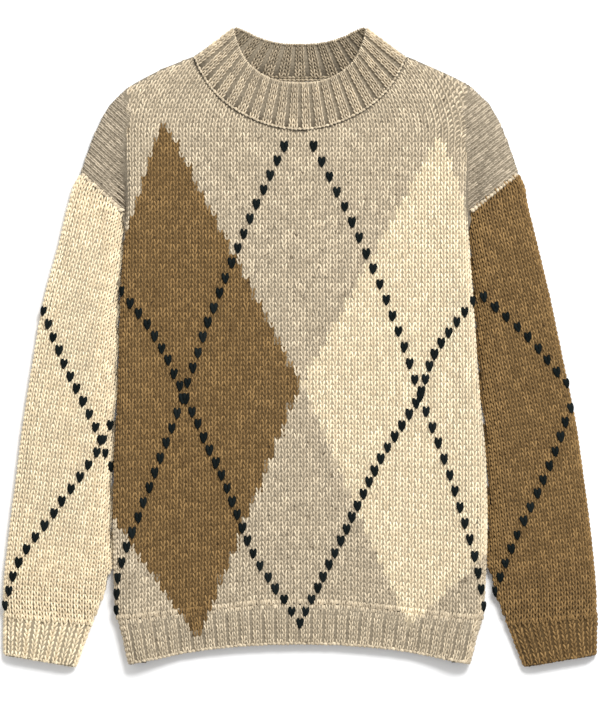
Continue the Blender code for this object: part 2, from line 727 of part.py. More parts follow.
def band_half(seam, edge, panel_line, count, rows, front):
    """One half of the neckband as outer and inner grids, from its left fold to its right one. Its seam
    follows panel_line, the boundary of the panel that it is sewn to."""
    along_seam, seam_length = half_curve(seam)
    edge_at, edge_length = half_curve(edge)

    def seam_at(share):
        x, _ = along_seam(share)
        clear = 0.0 if front else BAND_CORNER_CLEAR * float(ease((abs(x) - BAND_CLEAR_FROM_X) / BAND_CLEAR_WIDTH))
        return np.array((x, np.interp(x, panel_line[:, 0], panel_line[:, 1]) + clear))

    outer = []
    inner = []
    for row in rows:
        length = seam_length + (edge_length - seam_length) * row
        full = (SHOULDER_TOP + (BAND_TOP - SHOULDER_TOP) * row) if front else 0.0
        out_row = []
        in_row = []
        for i in range(count + 1):
            share = i / count
            near = min(share, 1 - share) * length
            z = BAND_MIDDLE + (full - BAND_MIDDLE) * float(rounded(near, BAND_FOLD))
            plan = seam_at(share) * (1 - row) + edge_at(share) * row
            ribbed = float(ease(near / BAND_FOLD)) if front else 0.0
            rise = BAND_RIB_RISE * float(rib_wave(share * BAND_RIBS)) * ribbed
            out_row.append((plan[0], plan[1], z + rise))
            narrow = WALL / length + share * (1 - 2 * WALL / length)
            plan = seam_at(narrow) * (1 - row) + edge_at(narrow) * row
            if front:
                z_in = max(z - WALL, BAND_MIDDLE + SEAM)
            else:
                z_in = min(z + WALL, BAND_MIDDLE - SEAM)
            in_row.append((plan[0], plan[1], z_in))
        outer.append(out_row)
        inner.append(in_row)
    return np.array(outer), np.array(inner)


def neckband(front_line, back_line):
    rows = (1.5 * SEAM / BAND_HEIGHT,) + BAND_ROWS
    back_rows = (3 * SEAM / BAND_HEIGHT,) + BAND_ROWS
    rib_points = BAND_RIBS * POINTS_A_RIB
    front_out, front_in = band_half(FRONT_NECK_SEAM, FRONT_BAND_EDGE, front_line, rib_points, rows, True)
    back_out, back_in = band_half(
        BACK_NECK_SEAM, BACK_BAND_EDGE, back_line, BACK_BAND_POINTS, back_rows, False
    )
    # Round the tube: the front from left to right, then the back from right to left. The two halves
    # share their end points, which lie on the folds.
    outer = np.concatenate([front_out, back_out[:, -2:0:-1]], axis=1)
    inner = np.concatenate([front_in, back_in[:, -2:0:-1]], axis=1)
    wall_object("neckband", outer, inner, OATMEAL, tube=True)


def build():
    for old in list(bpy.data.objects):
        bpy.data.objects.remove(old)
    front_line = front_panel()
    back_line = back_panel()
    hem_front()
    hem_back()
    sleeve(-1, CREAM)
    sleeve(1, BROWN)
    cuff(-1, CREAM)
    cuff(1, BROWN)
    neckband(front_line, back_line)


build()
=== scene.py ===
"""The looks of the argyle sweater: knitted stitches over thin shells of cloth, lying on a pale floor.

Lengths are in millimetres until a mesh is made. A skin is a grid over a solid's outer surface: u is the
length of cloth across the wales (columns of stitches) and v runs along them. Every stitch is placed by
its u and v, so it follows the form.
"""

from collections import namedtuple

import bmesh
import bpy
import math
import numpy as np
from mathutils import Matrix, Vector
from mathutils.bvhtree import BVHTree


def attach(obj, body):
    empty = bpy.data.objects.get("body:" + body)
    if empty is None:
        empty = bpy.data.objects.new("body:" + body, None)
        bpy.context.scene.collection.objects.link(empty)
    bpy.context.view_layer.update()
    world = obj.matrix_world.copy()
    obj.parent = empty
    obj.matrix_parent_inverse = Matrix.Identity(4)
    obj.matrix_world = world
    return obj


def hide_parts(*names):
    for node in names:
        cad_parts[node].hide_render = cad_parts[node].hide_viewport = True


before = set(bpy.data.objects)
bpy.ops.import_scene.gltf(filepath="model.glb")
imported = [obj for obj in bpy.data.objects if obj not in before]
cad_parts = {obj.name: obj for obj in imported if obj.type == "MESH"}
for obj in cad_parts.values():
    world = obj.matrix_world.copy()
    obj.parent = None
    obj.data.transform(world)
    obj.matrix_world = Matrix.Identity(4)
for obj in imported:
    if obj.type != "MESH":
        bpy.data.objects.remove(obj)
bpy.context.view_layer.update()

MM = 0.001
SEED = 7
rng = np.random.default_rng(SEED)


def table(row, *values):
    """A short table: a named row for each group of values."""
    return tuple(row(*group) for group in values)


# ---- sizes (mm) ----
SIDES = (-1, 1)  # the photo's left and right
WALE = 6.7  # width of a column of stitches on the body
COURSE = 5.1  # height of a row of stitches
SLEEVE_WALE = 6.0
CAP_WALE = 5.4
RELIEF = 2.0  # how far a stitch stands out of the cloth between stitches
SHELL_CUT = 12.0  # the shells are cut into faces no longer than this
SHELL_INSET = 1.3  # the shells lie this far inside the solids, under the stitches
SHELL_TOP_Z = 8.5  # a shell follows the cloth's unevenness above this
SKIN_STEP = 3.0
SKIN_COLUMNS = 240
RAY_Z = 60.0  # rays start this far above or below the floor
REST_Z = 0.6  # cloth lower than this rests on the floor
BESIDE_Z = 6.0  # the height of a seam or cap where no ray meets it

UNDERARM_Y = 145.0
FRONT_END_Y = 312.0  # the front's rows end here, past its highest point
FRONT_Z = 14.0  # the front's height where no ray meets it
FRONT_MARGIN = 0.4  # the front's rows stay this far below its upper boundary
HEM_MARGIN = 1.0  # and take their height this far above the hem's seam or higher
SEAM_MARGIN = 1.5  # the stitches beside a seam end this far from it
DROOP_Y, DROOP_FADE = 60.0, 330.0  # below this y the courses take on the hem's curve
TURN_ENDS_Y = 100.0  # from here up the side's turn closes into the armhole
VALLEY_ENDS_Y = {-1: 262.0, 1: 232.0}  # where the fold beside the shoulder cap has run out
FRONT_HIDDEN_Z = 5.0  # the stitches lower than this are out of sight, under the folded side
HIDDEN_Z = 4.0  # the same for the hem, the sleeves and the cuffs
BOLD_WIDE, BOLD_HIGH = 7.3, 9.5  # a stitch of the black lines
SEAM_STEP, SEAM_REACH = 4.2, 3.0  # one stitch of a seam's chain, and the half width of its skin

Edge = namedtuple("Edge", "y left right")
BODY_EDGES = table(
    Edge,
    (-334, -180, 178), (-322, -183, 182), (-307, -186, 185), (-286, -191, 191), (-254, -195, 194),
    (-202, -197, 197), (-112, -196, 196), (-39, -192, 189), (61, -189, 182), (145, -183, 176),
)
SHOULDER_EDGES = table(
    Edge,
    (184, -231, 230), (208, -223, 222), (229, -215, 214), (250, -204, 204), (261, -197, 196),
    (271, -186, 185), (281, -170, 170), (292, -149, 147), (301, -128, 127), (307, -112, 112),
)
# The body's turned side: out from its edge and height, from the top of the fold to the side seam.
Fold = namedtuple("Fold", "out z")
SIDE_FOLD = table(
    Fold,
    (-5.5, 16.6), (-2.5, 14.4), (0.0, 10.0), (-1.2, 5.8), (-4.0, 2.4), (-8.0, 0.6), (-12.0, 0.0),
    (-17.0, 0.0),
)
FOLD_TOP = Fold(-8.5, 17.6)
WIDEST_Z = 10.0  # the fold's height where it reaches out furthest
TUCK_Z = 6.4  # above the underarm the fold's underside stays this high, over the back's layer

VALLEY_MIDDLE = 4.5  # the valley beside the shoulder cap is deepest this far past the body's edge
VALLEY_DEPTH, VALLEY_WIDTH = 7.4, 13.0
CAP_V = (-30, 110)  # the cap's reach along the armhole seam, from the underarm, and across it
CAP_U = {-1: (-10, 125), 1: (-125, 10)}
CAP_BELOW = 20.0  # the front's outline starts this far below the armhole's outer end
CAP_LOW_Z, CAP_TURN = 5.6, 3.0  # the cap's least height, and how far it turns down past its edge
CAP_BOX = (231, 140)  # the cap's stitches lie inside this x and above this y
CAP_TUCK = 5.0  # and reach this far under the body's fold
# On the right shoulder the stitches turn towards the cap's slant, past this x and above this y.
FAN_X, FAN_WIDE, FAN_Y, FAN_HIGH = 120.0, 60.0, 192.0, 45.0
FAN_LEAN = 0.85

HemPlace = namedtuple("HemPlace", "x seam_y bottom_y")
HEM = table(
    HemPlace,
    (0, -269, -312), (42, -270, -313), (82, -274, -316), (125, -279, -322), (152, -282, -328),
    (180, -285, -333), (200, -286, -334),
)
Place = namedtuple("Place", "x y")
FRONT_NECK_SEAM = table(
    Place,
    (0, 229), (25, 232), (50, 240.5), (73, 253.5), (92, 271), (104, 289), (112, 307),
)
FRONT_BAND_EDGE = table(
    Place,
    (0, 278), (27, 281.5), (47, 292), (59, 305), (66, 320), (71, 337),
)
BACK_NECK_SEAM = table(
    Place,
    (0, 281), (50, 284), (90, 294), (112, 307),
)
BACK_BAND_EDGE = table(
    Place,
    (0, 320), (25, 321.5), (45, 327), (60, 334), (71, 338),
)
NECK_HALF_WIDTH = 112.0

SLEEVE_OUTER = table(
    Edge,
    (-280, -311, 312), (-265, -312, 312), (-202, -307, 307), (-139, -299, 299), (-76, -291, 290),
    (-13, -281, 277), (50, -270, 264), (113, -253, 249), (155, -243, 239), (172, -238, 236),
    (184, -231, 230),
)
SLEEVE_INNER = table(
    Edge,
    (-288, -217, 216), (-275, -211, 210), (-254, -203, 203), (-233, -198.5, 198.5),
)
SLEEVE_Y = (-284.0, 200.0)  # the sleeve's outer edge is followed between these
SLEEVE_TOP, SLEEVE_STEP = 15.0, 4.0
SLEEVE_GAP = 0.6  # beside the body
SLEEVE_WIDTHS = np.arange(30.0, 140.25, 0.25)  # a sleeve's possible widths
SLOPE_SPAN = 30  # the outer edge's direction is the mean over this many mm to both sides
CUFF_SWING = 90.0  # above the cuff's seam the rows turn square to the sleeve over this length
DIP_DEPTH, DIP_WIDTH = 8.0, 11.0  # the sleeves sink beside the body
DIP_ENDS_Y, DIP_FADE = -245.0, 50.0
TUCK_UNDER = 2.6  # the sleeves' stitches reach this far under the body's fold
# A flattened tube's edge: how far in from its outermost line, and the share of the height there.
TubeEdge = namedtuple("TubeEdge", "inset top bottom")
TUBE_EDGE = table(
    TubeEdge,
    (0.0, 0.42, 0.42), (0.5, 0.58, 0.26), (1.6, 0.70, 0.15), (3.4, 0.80, 0.07), (6.0, 0.88, 0.02),
    (10.0, 0.945, 0.0), (14.0, 0.98, 0.0),
)
TUBE_TOP_SHARE = 0.6  # the tube's points higher than this follow the cloth's unevenness
# The cuff's four corners on the plan: outer and inner, at its seam and at its edge.
CUFF = {
    -1: (((-311, -280), (-217.3, -288)), ((-311, -323), (-235, -336))),
    1: (((312, -280), (216.3, -288)), ((311, -323), (235, -336))),
}
ARMHOLE = {
    -1: np.array(((-231.0, 184.0), (-188.0, 145.0))),
    1: np.array(((230.0, 184.0), (181.0, 145.0))),
}

HEM_RIBS, HEM_WIDTH = 28, 356.0  # the ribs across this width of the hem
HEM_HEIGHT, HEM_Z = 43.0, 11.0
HEM_X = 190.0  # the hem's side, where its rows' y is read
HEM_PROFILE = (195.0, -250.0)  # the hem takes its height from the front's edge at this place
BACK_Y, BACK_X, BACK_STEP = (-340, 310), 240.0, 6.0
CUFF_COLUMNS, CUFF_HEIGHT = 21, 45.0
CUFF_TOP, CUFF_FALL = 13.0, 0.8  # the cuff's height at its seam, and how much lower its edge is
BAND_LENGTH = 250.0  # u over one half of the neckband
BAND_HEIGHT = 46.0  # v from its seam to its edge, without the edge's turn
BAND_ROWS, BAND_TURN = 12, 2.6  # rows up to the edge, and the v of each of the two rows that turn
BAND_FOLD = 0.05  # share of the band's length that rounds each fold
BAND_FOLD_Z = 6.8  # the front half comes down to this at its folds
BAND_Z, BAND_RISE = 12.6, 2.4  # the front half's height at its seam, and how much it rises
BAND_ROUND, BAND_LIP = 0.8, 0.1  # how far it rounds down, over this last share of its width
BACK_BAND_Z, BACK_BAND_RISE, BACK_BAND_TURN = 5.5, 0.6, 1.2
BACK_SEAM_FIT = (0.97, 3.0)  # the back half's narrowing and its shift in y, inside the front's folds
BACK_EDGE_FIT = (0.965, -0.5)
BACK_BAND_LOW = (-0.25, -11.5)  # share and v of the back half's row below its seam
HALF_CURVE_POINTS = 161

# ---- pattern: the corners of the diamonds and the bends of the stitched lines, on the plan ----
Diamond = namedtuple("Diamond", "top inner bottom outer_high outer_low")
BROWN_DIAMOND = Diamond((-144, 240), (1, -37), (-107, -305), (-184, 117), (-194, -183))
CREAM_DIAMOND = Diamond((147, 226), (1.5, -37), (113, -294), (179, 137.5), (195, -218))
DIAMOND_MIDDLE_Y = -37
DIAMOND_UNDER = 150  # under the body the diamonds reach this far up and down from their middle
# Lines of black stitches: first the one that falls from the neck or the body, then the one that rises.
StitchedLine = namedtuple("StitchedLine", "count bends")
BODY_LINES = table(
    StitchedLine,
    (32, ((-17, 212), (-53.5, 133), (-102, 11.5), (-122, -49), (-166, -168), (-192, -246), (-193, -275))),
    (28, ((-187.5, 60), (-151, 10.5), (-122, -49), (-80.5, -138), (-48, -217), (0, -289))),
    (30, ((14.7, 212), (56.7, 128), (99.7, 28), (126, -49), (153, -121), (174, -187), (186, -228),
          (193, -271))),
    (29, ((181.6, 49), (139.6, -9.5), (126, -49), (87, -112), (50, -188), (0, -289))),
)
SLEEVE_LINES = {
    -1: table(
        StitchedLine,
        (13, ((-270, 39), (-247, -17), (-208, -99), (-198.5, -124))),
        (15, ((-199.5, -81), (-208, -99), (-254, -167), (-299, -233), (-310, -270))),
    ),
    1: table(
        StitchedLine,
        (9, ((193, 53.5), (238, 12.6), (280, -37))),
        (14, ((284.5, -63), (254, -143), (225, -203), (204.5, -256))),
    ),
}

# ---- yarns ----
# Each yarn's three colours are linear.
Yarn = namedtuple("Yarn", "slot light dark fleck fleck_share sheen specular")
OATMEAL = ((0.68, 0.575, 0.415), (0.37, 0.30, 0.205), (0.16, 0.12, 0.075))
# Painted shade: a darker copy of the oatmeal yarn for the inside of the back neckband, standing in for the
# shade there.
OATMEAL_INSIDE_PAINTED_SHADE = ((0.45, 0.37, 0.26), (0.235, 0.19, 0.125), (0.11, 0.085, 0.05))
# Painted shade: a darker copy of the oatmeal yarn for the shoulder caps, standing in for the shade beside
# the body's fold.
OATMEAL_CAP_PAINTED_SHADE = ((0.49, 0.415, 0.31), (0.235, 0.195, 0.14), (0.10, 0.08, 0.055))
BROWN = ((0.30, 0.185, 0.072), (0.12, 0.068, 0.022), (0.045, 0.024, 0.008))
CREAM = ((0.88, 0.755, 0.54), (0.64, 0.52, 0.34), (0.42, 0.32, 0.19))
BLACK = ((0.010, 0.013, 0.013), (0.004, 0.006, 0.006), (0.002, 0.002, 0.002))
YARNS = {
    "oatmeal": Yarn("oatmeal_wool", *OATMEAL, 0.30, 0.12, 0.15),
    "oatmeal_inside_painted_shade": Yarn("oatmeal_wool", *OATMEAL_INSIDE_PAINTED_SHADE, 0.30, 0.05, 0.15),
    "oatmeal_cap_painted_shade": Yarn("oatmeal_wool", *OATMEAL_CAP_PAINTED_SHADE, 0.30, 0.05, 0.15),
    "brown": Yarn("brown_wool", *BROWN, 0.25, 0.05, 0.15),
    "cream": Yarn("cream_wool", *CREAM, 0.12, 0.12, 0.15),
    "black": Yarn("oatmeal_wool", *BLACK, 0.2, 0.0, 0.02),
}
GROUND_PAINTED_SHADE = 0.4  # painted shade: the cloth seen between the stitches is painted this much darker than the yarn


# ---- curves through the tables ----
def smooth(keys, values):
    """A smooth function through (key, value) pairs, held level past both ends."""
    order = np.argsort(keys)
    keys = np.array(keys, float)[order]
    values = np.array(values, float)[order]
    slopes = np.gradient(values, keys)

    def at(key):
        key = np.clip(key, keys[0], keys[-1])
        i = np.clip(np.searchsorted(keys, key) - 1, 0, len(keys) - 2)
        step = keys[i + 1] - keys[i]
        t = (key - keys[i]) / step
        near = values[i] * (1 + 2 * t) * (1 - t) ** 2 + slopes[i] * step * t * (1 - t) ** 2
        far = values[i + 1] * t * t * (3 - 2 * t) - slopes[i + 1] * step * t * t * (1 - t)
        return near + far

    return at


def ease(t):
    t = np.clip(t, 0.0, 1.0)
    return t * t * (3 - 2 * t)


def curve(rows, key, value):
    """A smooth function from one column of a table to another."""
    return smooth([getattr(row, key) for row in rows], [getattr(row, value) for row in rows])


def both_sides(rows):
    return {-1: curve(rows, "y", "left"), 1: curve(rows, "y", "right")}


BODY_EDGE = both_sides(BODY_EDGES)
UNDERARM_X = {side: float(BODY_EDGE[side](UNDERARM_Y)) for side in SIDES}
SLEEVE_OUT = both_sides(SLEEVE_OUTER)
SLEEVE_LOW = both_sides(SLEEVE_INNER)
CAP_EDGE = both_sides(SHOULDER_EDGES)
SHOULDER_LINE = {-1: curve(SHOULDER_EDGES, "left", "y"), 1: curve(SHOULDER_EDGES, "right", "y")}
HEM_SEAM = curve(HEM, "x", "seam_y")
HEM_BOTTOM = curve(HEM, "x", "bottom_y")
FRONT_NECK = curve(FRONT_NECK_SEAM, "x", "y")


def top_line(x):
    """The front's upper boundary over x: shoulder, neck seam, shoulder."""
    x = np.asarray(x, float)
    shoulder = np.where(x < 0, SHOULDER_LINE[-1](x), SHOULDER_LINE[1](x))
    return np.where(np.abs(x) < NECK_HALF_WIDTH, FRONT_NECK(np.abs(x)), shoulder)


def lengths_along(points):
    """The length along a row of points up to each of them."""
    steps = np.linalg.norm(np.diff(points, axis=0), axis=1)
    return np.concatenate([[0], np.cumsum(steps)])


def sampled(points, along, at):
    """The row of points, with these lengths along it, read at other lengths."""
    return np.array([np.interp(at, along, values) for values in points.T]).T


# ---- the solids' surfaces ----
def node_tree(*names):
    """One search tree over the CAD nodes of these names, in millimetres."""
    points = []
    faces = []
    for name in names:
        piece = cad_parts[name]
        start = len(points)
        points += [tuple(piece.matrix_world @ v.co / MM) for v in piece.data.vertices]
        faces += [[start + i for i in face.vertices] for face in piece.data.polygons]
    return BVHTree.FromPolygons(points, faces)


def drop(tree, x, y, missing):
    """Height of the tree's surface under the point (x, y), or missing beside it."""
    hit = tree.ray_cast(Vector((x, y, RAY_Z)), Vector((0, 0, -1)))
    return hit[0].z if hit[0] else missing


def rests(tree, x, y):
    """Whether the tree's surface over the point (x, y) lies on the floor."""
    hit = tree.ray_cast(Vector((x, y, -RAY_Z)), Vector((0, 0, 1)))
    return bool(hit[0]) and hit[0].z < REST_Z


# ---- the cloth's soft unevenness, raised or lowered over the plan ----
# Each is a long soft ridge or trough from one point to another: its rise and how far it spreads.
Crease = namedtuple("Crease", "start end rise spread")
CREASES = table(
    Crease,
    ((-150, -60), (-60, -150), 0.7, 26),
    ((60, -190), (150, -90), 0.6, 24),
    ((-165, 60), (-175, -110), -0.8, 9),
    ((158, 70), (168, -120), -0.8, 9),
    ((-40, 190), (-110, 120), 0.5, 20),
    ((50, 180), (120, 90), 0.5, 22),
    ((-60, 40), (70, 20), -0.5, 30),
    ((-90, -225), (90, -228), -0.6, 14),
    ((-250, -40), (-232, -150), 0.7, 14),
    ((-285, -150), (-245, -215), -0.7, 12),
    ((240, -20), (256, -140), 0.7, 14),
    ((290, -170), (240, -225), -0.7, 12),
    ((-232, 120), (-215, 40), 0.6, 10),
    ((226, 130), (214, 40), 0.6, 10),
)


def unevenness(points):
    """How far the cloth is raised at plan points (n, 2)."""
    total = np.zeros(len(points))
    for crease in CREASES:
        start = np.array(crease.start, float)
        way = np.array(crease.end, float) - start
        share = np.clip((points - start) @ way / (way @ way), 0, 1)
        away = np.linalg.norm(points - start - share[:, None] * way, axis=1)
        total += crease.rise * np.exp(-((away / crease.spread) ** 2))
    x, y = points[:, 0], points[:, 1]
    total += 0.22 * np.sin(x / 23 + 0.8 * np.sin(y / 31)) * np.sin(y / 37 + 0.6 * np.sin(x / 29))
    return total


def uneven_at(x, y):
    return float(unevenness(np.array([(x, y)]))[0])


# ---- skins ----
def grid_normals(grid):
    across = np.gradient(grid, axis=1)
    along = np.gradient(grid, axis=0)
    normals = np.cross(across, along)
    length = np.linalg.norm(normals, axis=2, keepdims=True)
    return normals / np.maximum(length, 1e-9)


class Skin:
    """Rows of points, each resampled evenly along its length. Columns run left to right and rows upwards,
    seen from outside the cloth. starts holds each row's u at its first point. Where length is given, the
    points of a row count as evenly spaced, and each row as this long."""

    def __init__(self, v, rows, starts, length=None):
        self.v = np.array(v, float)
        self.starts = np.array(starts, float)
        self.lengths = np.zeros(len(rows))
        grid = []
        for i, row in enumerate(rows):
            row = np.array(row, float)
            along = np.linspace(0, length, len(row)) if length else lengths_along(row)
            grid.append(sampled(row, along, np.linspace(0, along[-1], SKIN_COLUMNS)))
            self.lengths[i] = along[-1]
        self.points = np.array(grid)
        self.normals = grid_normals(self.points)

    def holds(self, u, v, margin):
        """Whether u lies within the row at v, and not in the margins at its ends."""
        start = np.interp(v, self.v, self.starts)
        length = np.interp(v, self.v, self.lengths)
        return (u > start + margin) & (u < start + length - margin)

    def at(self, u, v, height):
        u, v, height = np.broadcast_arrays(u, v, height)
        row = np.interp(v, self.v, np.arange(len(self.v)))
        low = np.clip(np.floor(row).astype(int), 0, len(self.v) - 2)
        found = 0
        for r, weight in ((low, 1 - (row - low)), (low + 1, row - low)):
            place = (u - self.starts[r]) / self.lengths[r] * (SKIN_COLUMNS - 1)
            place = np.clip(place, 0, SKIN_COLUMNS - 1)
            c = np.clip(np.floor(place).astype(int), 0, SKIN_COLUMNS - 2)
            for k, share in ((c, 1 - (place - c)), (c + 1, place - c)):
                at = self.points[r, k] + self.normals[r, k] * height[..., None]
                found = found + at * (weight * share)[..., None]
        return found

    def locate(self, x, y):
        """u and v of the upper side's point nearest to the plan point (x, y)."""
        away = np.hypot(self.points[:, :, 0] - x, self.points[:, :, 1] - y)
        away = away + np.where(self.normals[:, :, 2] > 0.2, 0, 1e6)
        r, c = np.unravel_index(np.argmin(away), away.shape)
        u = self.starts[r] + self.lengths[r] * c / (SKIN_COLUMNS - 1)
        v = self.v[r]
        near = self.at(u, v, 0.0)
        along_u = (self.at(u + 1.0, v, 0.0) - near)[:2]
        along_v = (self.at(u, v + 1.0, 0.0) - near)[:2]
        ways = np.column_stack([along_u, along_v])
        step = np.linalg.lstsq(ways, np.array((x, y)) - near[:2], rcond=None)[0]
        du, dv = np.clip(step, -SKIN_STEP, SKIN_STEP)
        return u + du, v + dv


def centred(rows):
    """Each row's start, so that u is 0 where it crosses x = 0 on the upper side."""
    rows = [np.array(row, float) for row in rows]
    return [-float(np.interp(0.0, row[:, 0], lengths_along(row))) for row in rows]


def droop(x, v):
    """How far a course hangs below its middle's y: the lower courses follow the hem seam."""
    return (HEM_SEAM(np.abs(x)) - HEM_SEAM(0)) * ease((DROOP_Y - v) / DROOP_FADE)


def row_y(x, v):
    """y of the front's row v at x, held below the shoulders and the neck's seam."""
    return min(v + float(droop(x, v)), float(top_line(x)) - FRONT_MARGIN)


def valley(side, x, y):
    """How far the cap sinks beside the body's fold at the plan point (x, y)."""
    edge = UNDERARM_X[side]
    open_share = 1 - float(ease((y - UNDERARM_Y) / (VALLEY_ENDS_Y[side] - UNDERARM_Y)))
    inside = abs(side * x - side * edge - VALLEY_MIDDLE)
    return VALLEY_DEPTH * open_share * math.exp(-((inside / VALLEY_WIDTH) ** 2))


def outline_points():
    """The plan outline of both shoulder caps, from below the armhole's outer end to the neck."""
    found = []
    for side in SIDES:
        ys = np.arange(ARMHOLE[side][0][1] - CAP_BELOW, SHOULDER_EDGES[-1].y, 0.5)
        found.append(np.column_stack([CAP_EDGE[side](ys), ys]))
    return np.concatenate(found)


OUTLINE = outline_points()


def held_inside(x, y):
    """The plan point (x, y), or the outline's nearest point where it lies past the shoulder, and how far
    past it lies."""
    side = -1 if x < 0 else 1
    inside = side * x < side * CAP_EDGE[side](y) and y < float(SHOULDER_LINE[side](x))
    if inside or y < ARMHOLE[side][0][1] - CAP_BELOW:
        return x, y, 0.0
    away = np.hypot(OUTLINE[:, 0] - x, OUTLINE[:, 1] - y)
    nearest = int(np.argmin(away))
    return float(OUTLINE[nearest, 0]), float(OUTLINE[nearest, 1]), float(away[nearest])


def over_xs(edges):
    """The x of a row's points on the upper side, from fold to fold."""
    return np.arange(edges[-1] - FOLD_TOP.out, edges[1] + FOLD_TOP.out + 0.1, SKIN_STEP)


def turned_side(side, edge, v, crest):
    """A front row's points round the fold, from the height of the crest to the side seam."""
    closing = float(ease((v - UNDERARM_Y) / (VALLEY_ENDS_Y[side] - UNDERARM_Y)))
    tuck = float(ease((v - TURN_ENDS_Y) / (UNDERARM_Y - TURN_ENDS_Y)))
    points = []
    for fold in SIDE_FOLD:
        z = fold.z + (max(fold.z, TUCK_Z) - fold.z) * tuck
        z = max(crest - (FOLD_TOP.z - z) * (1 - closing), 0.0)
        out = fold.out * (1 - closing) if fold.z < WIDEST_Z else fold.out
        x = edge + side * out
        points.append((x, row_y(x, v), z))
    return points


def front_skin():
    """The front's face and its turned sides. v is y in the middle."""
    tree = node_tree("front_panel")
    values = np.arange(HEM_SEAM(0), FRONT_END_Y, SKIN_STEP)
    rows = []
    for v in values:
        edges = {side: float(BODY_EDGE[side](min(v, UNDERARM_Y))) for side in SIDES}
        over = []
        for x in over_xs(edges):
            y = row_y(x, v)
            z = drop(tree, x, max(y, float(HEM_SEAM(abs(x))) + HEM_MARGIN), FRONT_Z)
            over.append((x, y, z + uneven_at(x, y)))
        left = turned_side(-1, edges[-1], v, over[0][2])
        rows.append(left[::-1] + over + turned_side(1, edges[1], v, over[-1][2]))
    return Skin(values, rows, centred(rows))


def hem_y(x, share):
    """y at x, this share of the way from the hem's seam to its edge."""
    seam = float(HEM_SEAM(abs(x)))
    return seam + (float(HEM_BOTTOM(abs(x))) - seam) * share


def hem_skin():
    """The ribbed hem's front, folded round like the body."""
    shares = np.linspace(1, -0.15, 17)
    tree = node_tree("front_panel")
    profile_x, profile_y = HEM_PROFILE
    rows = []
    for share in shares:
        edges = {side: float(BODY_EDGE[side](hem_y(side * HEM_X, share))) for side in SIDES}
        left, right = ([(edges[k] + k * fold.out, fold.z) for fold in SIDE_FOLD] for k in SIDES)
        row = [(x, hem_y(x, share), z) for x, z in left[::-1]]
        for x in over_xs(edges):
            side = -1 if x < 0 else 1
            y = hem_y(x, share)
            z = drop(tree, side * (profile_x - (edges[side] * side - abs(x))), profile_y, HEM_Z)
            row.append((x, y, z + uneven_at(x, y)))
        rows.append(row + [(x, hem_y(x, share), z) for x, z in right])
    skin = Skin(-HEM_HEIGHT * shares, rows, centred(rows))
    mean = skin.lengths.mean()
    skin.starts = np.full(len(rows), -mean / 2)
    skin.lengths = np.full(len(rows), mean)
    return skin


def cap_skin(side):
    """The shoulder cap beside the valley, with its wales along the armhole seam."""
    tree = node_tree("front_panel")
    outer, inner = ARMHOLE[side]
    up = (outer - inner) / np.linalg.norm(outer - inner)
    across = np.array((up[1], -up[0]))
    edge = UNDERARM_X[side]
    values = np.arange(*CAP_V, SKIN_STEP)
    lengths = np.arange(*CAP_U[side], SKIN_STEP)
    rows = []
    for v in values:
        row = []
        for u in lengths:
            x, y, past = held_inside(*(inner + up * v + across * u))
            z = drop(tree, x, y, BESIDE_Z)
            if side * (x - edge) < VALLEY_MIDDLE:
                z = min(z, drop(tree, edge + side * VALLEY_MIDDLE, y, z))
            z = z - valley(side, x, y) + uneven_at(x, y)
            row.append((x, y, max(z, CAP_LOW_Z) - min(past, CAP_TURN)))
        rows.append(row)
    return Skin(values, rows, [lengths[0]] * len(rows), length=lengths[-1] - lengths[0])


def back_skin():
    """The back's underside, flat on the floor, seen from below: columns run from right to left."""
    values = np.arange(*BACK_Y, BACK_STEP)
    rows = [((BACK_X, v, 0.0), (-BACK_X, v, 0.0)) for v in values]
    return Skin(values, rows, [-BACK_X] * len(rows))


def sleeve_inner_x(side, y):
    body = float(BODY_EDGE[side](min(y, UNDERARM_Y))) + side * SLEEVE_GAP
    return float(SLEEVE_LOW[side](y)) if y < SLEEVE_INNER[-1].y else body


def sleeve_dip(inset, y):
    """How far a sleeve sinks this far from its inner edge, where it lies beside the body."""
    return DIP_DEPTH * math.exp(-((inset / DIP_WIDTH) ** 2)) * float(ease((y - DIP_ENDS_Y) / DIP_FADE))


def tube_row(outer, way, width, height, side, dips):
    """One loop of a flattened tube, along its underside, round its outer edge and over its top, and its
    start, so that u is 0 on the outer edge."""
    reach = TUBE_EDGE[-1].inset
    top = [(e.inset, e.top) for e in TUBE_EDGE]
    under = [(e.inset, e.bottom) for e in TUBE_EDGE[1:]]
    middle = np.arange(reach + SKIN_STEP, width - reach, SKIN_STEP)
    over = top + [(m, 1.0) for m in middle] + [(width - i, t) for i, t in top[::-1]]
    below = under + [(m, 0.0) for m in middle] + [(width - i, b) for i, b in under[::-1]]
    row = []
    for inset, share in below[::-1] + over:
        x, y = outer + way * inset
        lift = uneven_at(x, y) if share > TUBE_TOP_SHARE else 0.0
        lift -= sleeve_dip(width - inset, y) if dips else 0.0
        row.append((x, y, share * (height + lift)))
    along = lengths_along(np.array(row))
    if side > 0:
        return row[::-1], along[len(below)] - along[-1]
    return row, -along[len(below)]


def tube_skin(values, loops, side, dips=False):
    """The skin of a flattened tube. Each loop has an outer point, a direction, a width and a height."""
    rows, starts = zip(*(tube_row(*loop, side, dips) for loop in loops))
    return Skin(values, rows, starts)


